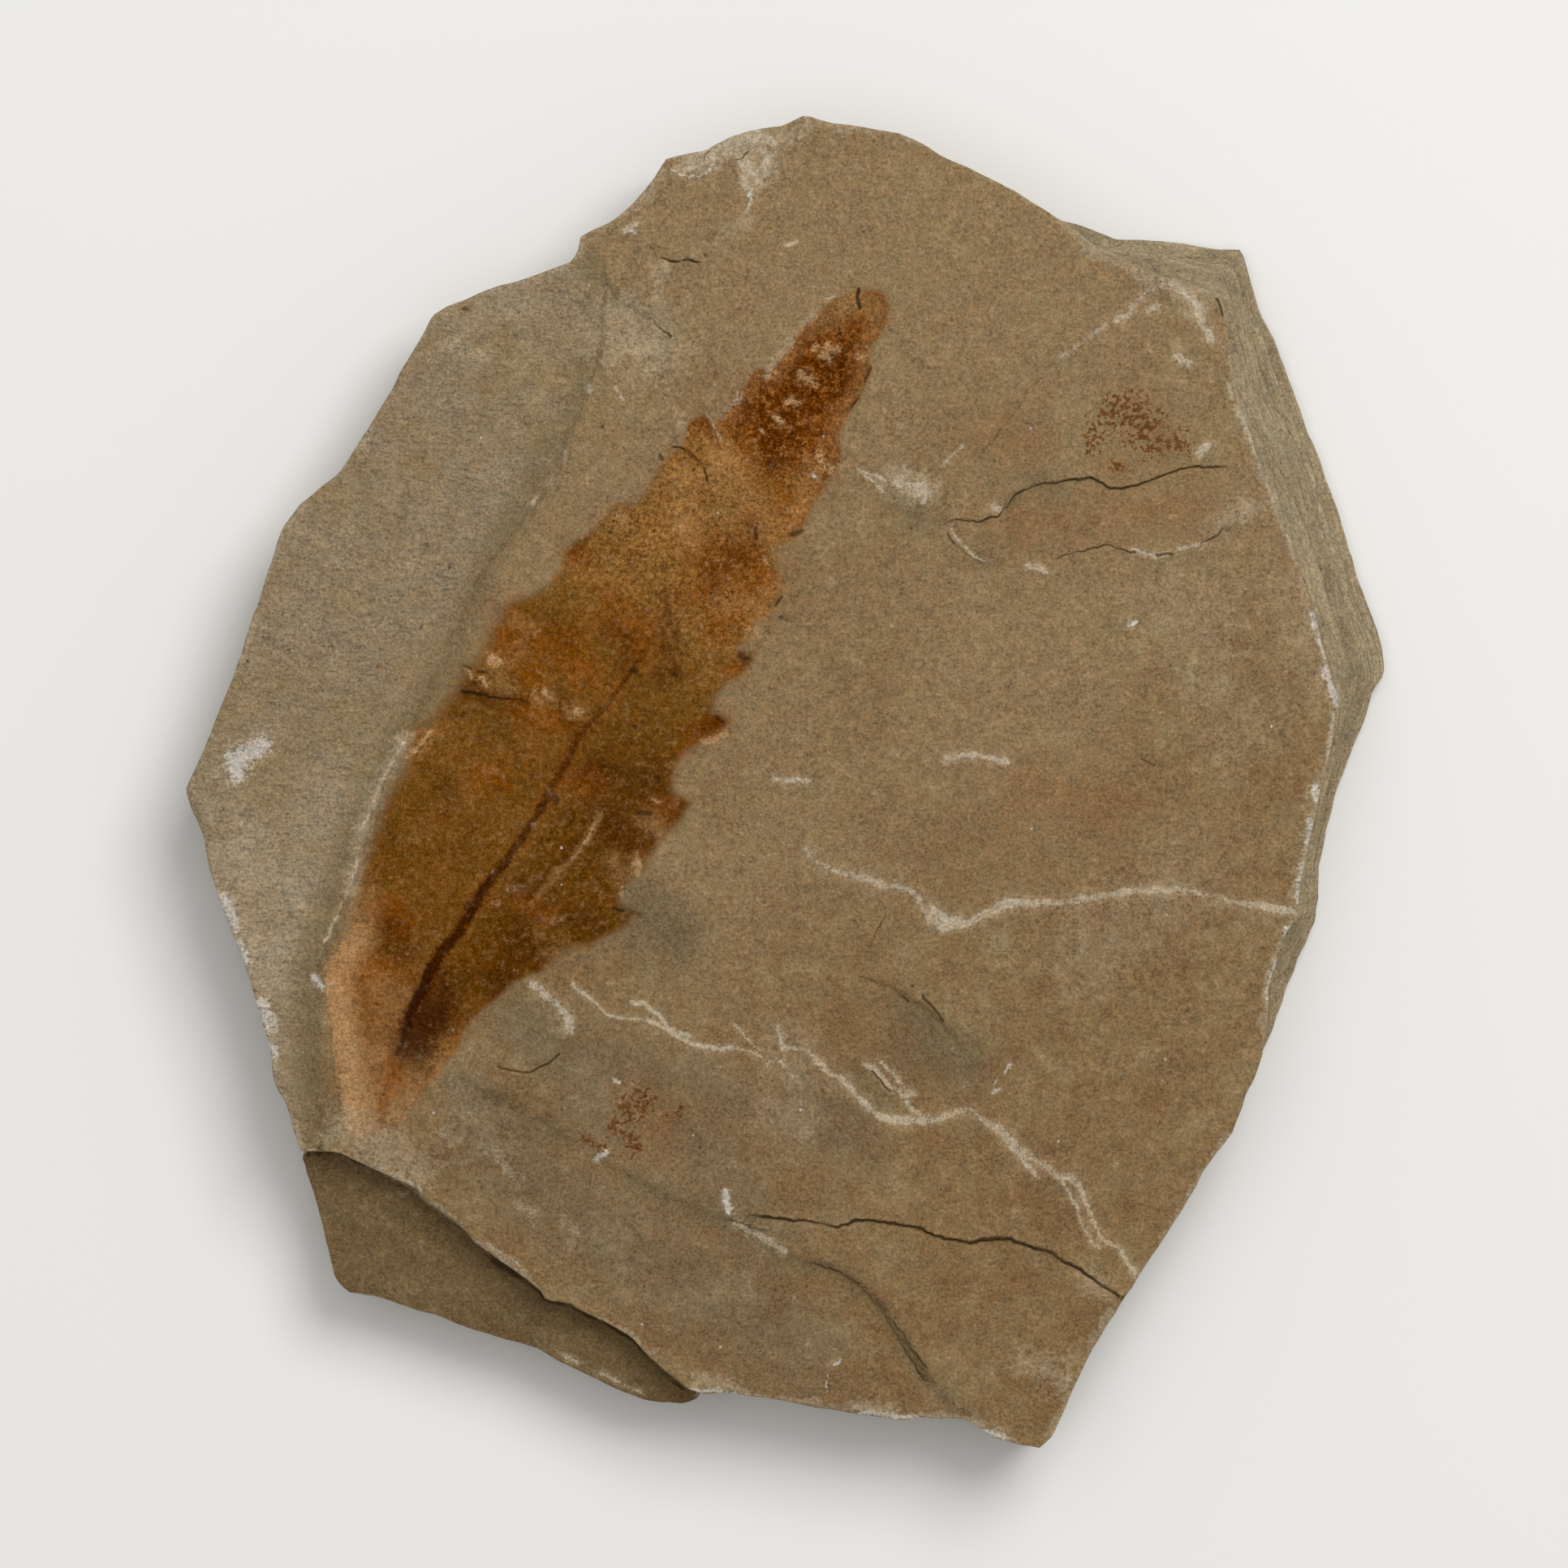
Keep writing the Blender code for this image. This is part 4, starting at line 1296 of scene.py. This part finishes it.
    def small_marks(self, colour):
        """The colour with leaf specks and chips, broken edges, painted shadow in open gaps and along steps,
        and scattered dots.
        """
        pale = self.mark("pale") + self.gaps * 0.5
        chips = (self.rim + self.patchy * 2.4 + self.cloud * 3.0).rise(0.3, 0.0) * self.zone.rise(1.0, 0.7)
        # Painted shade of the open cracks, the feet of steps and folds, and the ledge under the wall, made
        # ragged.
        dark = (self.mark("dark") + self.gaps + self.torn * 0.5).rise(-0.3, 0.6)
        dotted = self.noise(self.place, 3.0, 2.0, 0.6) + self.soft("speckle", 0.8, 0.3)
        return self.washes(colour, [
            ("spot", self.crisp("spot", 0.4, 0.72)),
            ("cream", self.soft("cream", 1.0, 0.26)),
            ("cream", self.crisp("cream", 0.8, 0.45)),
            # Painted shade beside the steps and folds, from the grey strokes.
            ("shade", self.soft("grey", 0.7, 0.48)),
            ("fresh", self.soft("haze", 1.0, 0.42)),
            ("fresh", (pale + self.ragged * 0.6).rise(-1.5, 0.4) * 0.22),
            ("fresh", (pale + self.torn * 0.2).rise(0.1, 0.5) * 0.7),
            ("chalk", (pale + self.torn * 0.3).rise(0.4, 0.9) * 0.17),
            ("fresh", chips * 0.45),
            ("fresh", self.soft("white", 0.8, 0.34)),
            ("chalk", self.crisp("white", 0.5, 0.62)),
            # Painted shade in the open cracks and under the steps.
            ("crack_shade_and_specks", dark * 0.78),
            ("speck", dotted.rise(0.24, 0.32) * self.top * 0.85),
            ("crack_shade_and_specks", self.dots(0.4, 0.15, 0.34, 3.0) * 0.62),
            ("leaf_rust", self.dots(0.3, 0.24, 0.12, 31.0) * 0.5),
            ("chalk", self.dots(0.5, 0.11, 0.3, 57.0) * 0.8)])

    def grained(self, colour, stain):
        """The colour, lighter and darker by the grain, more in the stain, and a little warmer and cooler."""
        lively = 1.0 + stain * self.way.rise(0.06, 0.2) * 0.2 + stain * self.way.rise(0.56, 0.66) * 0.25
        unevenness = self.grain * 1.1 + self.fine * 2.35 + self.patchy * 0.6 + self.cloud * 0.5
        tone = 1.0 + unevenness * lively
        tone = self.add("CombineColor", None, {0: tone, 1: tone, 2: tone})
        warm = self.noise(self.place, 0.7, 3.0, 0.85).rise(-0.15, 0.15)
        hue = self.mix(warm, (0.94, 1.0, 1.07), (1.06, 0.99, 0.93))
        return self.mix(0.6, self.mix(1.0, colour, tone, "MULTIPLY"), hue, "MULTIPLY")

    def bump(self):
        """The normal over the grain, and over fine slanting fibres on the sunken strip."""
        slant = self.add("Mapping", {"vector_type": "POINT"}, {
            "Vector": self.place, "Rotation": (0.0, 0.0, 0.7), "Scale": (0.5, 1.3, 1.0)})
        fibre = self.noise(slant, 1.0, 2.0, 0.65) * self.strip.rise(0.0, 3.0) * 0.5
        height = self.grain * 0.17 + self.patchy * 0.3 + fibre
        return self.add("Bump", None, {"Strength": 1.0, "Distance": MM, "Height": height})


def shale_material(colours):
    """Tan shale, grained and clouded, pale where broken, banded on its sides, with the leaf's stain."""
    material = bpy.data.materials.new("shale")
    material.use_nodes = True
    shale = Shale(material, colours)
    stain = shale.stain()
    colour = shale.small_marks(shale.mix(stain, shale.stone(), shale.blade()))
    shader = shale.add("BsdfPrincipled", None, {
        "Base Color": shale.grained(colour, stain), "Roughness": 0.93 + shale.grain * 0.2 - stain * 0.1,
        "Specular IOR Level": 0.0, "Normal": shale.bump()})
    shale.add("OutputMaterial", None, {"Surface": shader})
    return material


def plain_material(name, colour, roughness):
    """One even finish, for the stage."""
    material = bpy.data.materials.new(name)
    material.use_nodes = True
    shader = material.node_tree.nodes["Principled BSDF"]
    shader.inputs["Base Color"].default_value = (*colour, 1.0)
    shader.inputs["Roughness"].default_value = roughness
    return material


def add_lamp(name, place, size, power):
    """A round soft light of a size and power, which faces the slab's middle."""
    light = bpy.data.lights.new(name, "AREA")
    light.shape = "DISK"
    light.size = size
    light.energy = power
    holder = bpy.data.objects.new(name, light)
    holder.location = place
    holder.rotation_mode = "QUATERNION"
    holder.rotation_quaternion = Vector(place).to_track_quat("Z", "Y")
    bpy.context.scene.collection.objects.link(holder)


class PlateSizes(bpy.types.PropertyGroup):
    """Sizes of the slab."""
    face_level: bpy.props.FloatProperty(
        name="Upper face", description="Height of the upper face", default=0.0112, unit="LENGTH")
    ledge_level: bpy.props.FloatProperty(
        name="Ledge", description="Height of the lower layer where it shows", default=0.008, unit="LENGTH")
    foot_level: bpy.props.FloatProperty(
        name="Foot", description="Height of the sloping side's widest part", default=0.0015, unit="LENGTH")
    leaf_depth: bpy.props.FloatProperty(
        name="Leaf depth", description="How deep the leaf is printed", default=0.0002, unit="LENGTH")
    net_count: bpy.props.IntProperty(
        name="Net points", description="Points along one side of the upper face's net", default=140, min=20)


def colour_property(name, description, display):
    """A colour setting whose default is a display colour from 0 to 255."""
    return bpy.props.FloatVectorProperty(
        name=name, description=description, subtype="COLOR", min=0.0, max=1.0, default=linear(*display))


class PlateColours(bpy.types.PropertyGroup):
    """Colours of the stone and the leaf."""
    stone: colour_property("Stone", "Tan of the upper face", (139, 115, 83))
    stone_brown: colour_property("Browner stone", "Warmer stone towards the bottom", (126, 99, 66))
    stone_grey: colour_property("Greyer stone", "The sunken strip on the left", (142, 125, 100))
    stone_olive: colour_property("Olive stone", "Cloudy cooler patches", (128, 108, 76))
    stone_cool: colour_property("Cool stone", "Greyer washes at the lower left", (99, 88, 70))
    stone_pale: colour_property("Palest stone", "The strip's lower end", (156, 140, 114))
    ledge: colour_property("Ledge", "The browner layer that shows at the lower left", (109, 89, 60))
    side_pale: colour_property("Pale layers", "Pale bands of the sides", (159, 144, 114))
    side_dark: colour_property("Dark layers", "Darker bands of the sides", (134, 118, 91))
    fresh: colour_property("Fresh edge", "Freshly broken stone", (169, 153, 126))
    chalk: colour_property("Chalk", "White crushed spots", (192, 186, 177))
    # Painted shade: the grey-green laid beside steps and folds in place of their shade.
    shade: colour_property("Grey shade", "Grey-green along the folds", (100, 89, 63))
    # Painted shade of the open cracks and of the ledge under the wall, and also the colour of the small dark
    # specks.
    crack_shade_and_specks: colour_property("Crack", "Dark of the open cracks", (48, 35, 14))
    leaf_rust: colour_property("Leaf rust", "Rusty stain", (117, 62, 2))
    leaf_umber: colour_property("Leaf umber", "Dark brown washes and mottles", (64, 28, 0))
    leaf_core: colour_property("Leaf core", "Darkest brown, of the midrib and the leaf's foot", (44, 14, 0))
    leaf_orange: colour_property("Leaf orange", "Orange mottles at the tip", (148, 94, 46))
    leaf_olive: colour_property("Leaf olive", "Olive brown right of the midrib", (86, 52, 4))
    leaf_bare: colour_property("Bare patches", "Tan where the stain is thin", (150, 112, 68))
    leaf_peach: colour_property("Leaf peach", "Pale orange at the stalk's left", (164, 126, 84))
    cream: colour_property("Cream", "Pale chips in the leaf", (176, 140, 98))
    spot: colour_property("Dark spots", "Nearly black specks in the leaf", (46, 24, 10))
    speck: colour_property("Brown specks", "Specks of the two speckled patches", (92, 54, 20))


class PLATE_OT_slab(bpy.types.Operator):
    """Builds the slab with its fossil leaf"""
    bl_idname = "plate.slab"
    bl_label = "Slab with leaf"

    def execute(self, context):
        sizes = context.scene.plate_sizes
        points, faces, zone = plate_arrays(sizes)
        left, bottom = RIM.min(axis=0)
        right, top = FOOT[:, 0].max(), RIM[:, 1].max()
        shift = np.array([-(left + right) / 2, -(bottom + top) / 2, 0.0])
        placed = (points + shift) * MM
        if (placed.min(axis=0) < np.array(cad_low) - BOX_SLACK).any():
            raise RuntimeError("The slab reaches past the lowest corner of its CAD box.")
        if (placed.max(axis=0) > np.array(cad_high) + BOX_SLACK).any():
            raise RuntimeError("The slab reaches past the highest corner of its CAD box.")
        plate = mesh_from("shale_slab", placed, faces)
        for name, values in face_marks(points, zone, sizes.face_level / MM).items():
            write_attribute(plate.data, name, values)
        plate.data.materials.append(shale_material(context.scene.plate_colours))
        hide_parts("shale_plate")
        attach(plate, "root")
        return {"FINISHED"}


class PLATE_OT_stage(bpy.types.Operator):
    """Adds the pale floor, the soft light and the camera that looks straight down"""
    bl_idname = "plate.stage"
    bl_label = "Stage"

    def execute(self, context):
        scene = context.scene
        mesh = bpy.data.meshes.new("floor")
        corners = [(x * FLOOR_HALF, y * FLOOR_HALF, 0.0) for x, y in ((-1, -1), (1, -1), (1, 1), (-1, 1))]
        mesh.from_pydata(corners, [], [(0, 1, 2, 3)])
        mesh.materials.append(plain_material("floor", FLOOR_COLOUR, FLOOR_ROUGHNESS))
        floor = bpy.data.objects.new("floor", mesh)
        floor.location.z = -FLOOR_DROP
        scene.collection.objects.link(floor)

        add_lamp("key", place=(0.28, 0.36, 0.77), size=0.5, power=4.9)
        add_lamp("top", place=(-0.1, 0.1, 1.2), size=1.2, power=5.4)
        scene.world = bpy.data.worlds.new("studio")
        scene.world.use_nodes = True
        sky = scene.world.node_tree.nodes["Background"]
        sky.inputs["Color"].default_value = (*SKY_COLOUR, 1.0)
        sky.inputs["Strength"].default_value = SKY_STRENGTH

        camera = bpy.data.cameras.new("camera")
        camera.sensor_width = SENSOR
        camera.lens = LENS
        away = VIEW_PIXELS * PIXEL * MM * camera.lens / camera.sensor_width
        scene.camera = bpy.data.objects.new("camera", camera)
        scene.camera.location = (*CAMERA_PLACE, scene.plate_sizes.face_level + away)
        scene.collection.objects.link(scene.camera)
        scene.view_settings.view_transform = "Standard"
        return {"FINISHED"}


class PLATE_PT_panel(bpy.types.Panel):
    """Lists what the add-on builds"""
    bl_idname = "PLATE_PT_panel"
    bl_label = "Fossil leaf plate"
    bl_space_type = "VIEW_3D"
    bl_region_type = "UI"
    bl_category = "Plate"

    def draw(self, context):
        column = self.layout.column()
        for group in (context.scene.plate_sizes, context.scene.plate_colours):
            for name in group.__annotations__:
                column.prop(group, name)
        for operator in (PLATE_OT_slab, PLATE_OT_stage):
            column.operator(operator.bl_idname)


CLASSES = (PlateSizes, PlateColours, PLATE_OT_slab, PLATE_OT_stage, PLATE_PT_panel)


def register():
    for item in CLASSES:
        bpy.utils.register_class(item)
    bpy.types.Scene.plate_sizes = bpy.props.PointerProperty(type=PlateSizes)
    bpy.types.Scene.plate_colours = bpy.props.PointerProperty(type=PlateColours)


def unregister():
    del bpy.types.Scene.plate_colours
    del bpy.types.Scene.plate_sizes
    for item in reversed(CLASSES):
        bpy.utils.unregister_class(item)


def main():
    register()
    bpy.ops.plate.slab()
    bpy.ops.plate.stage()


if __name__ == "__main__":
    main()
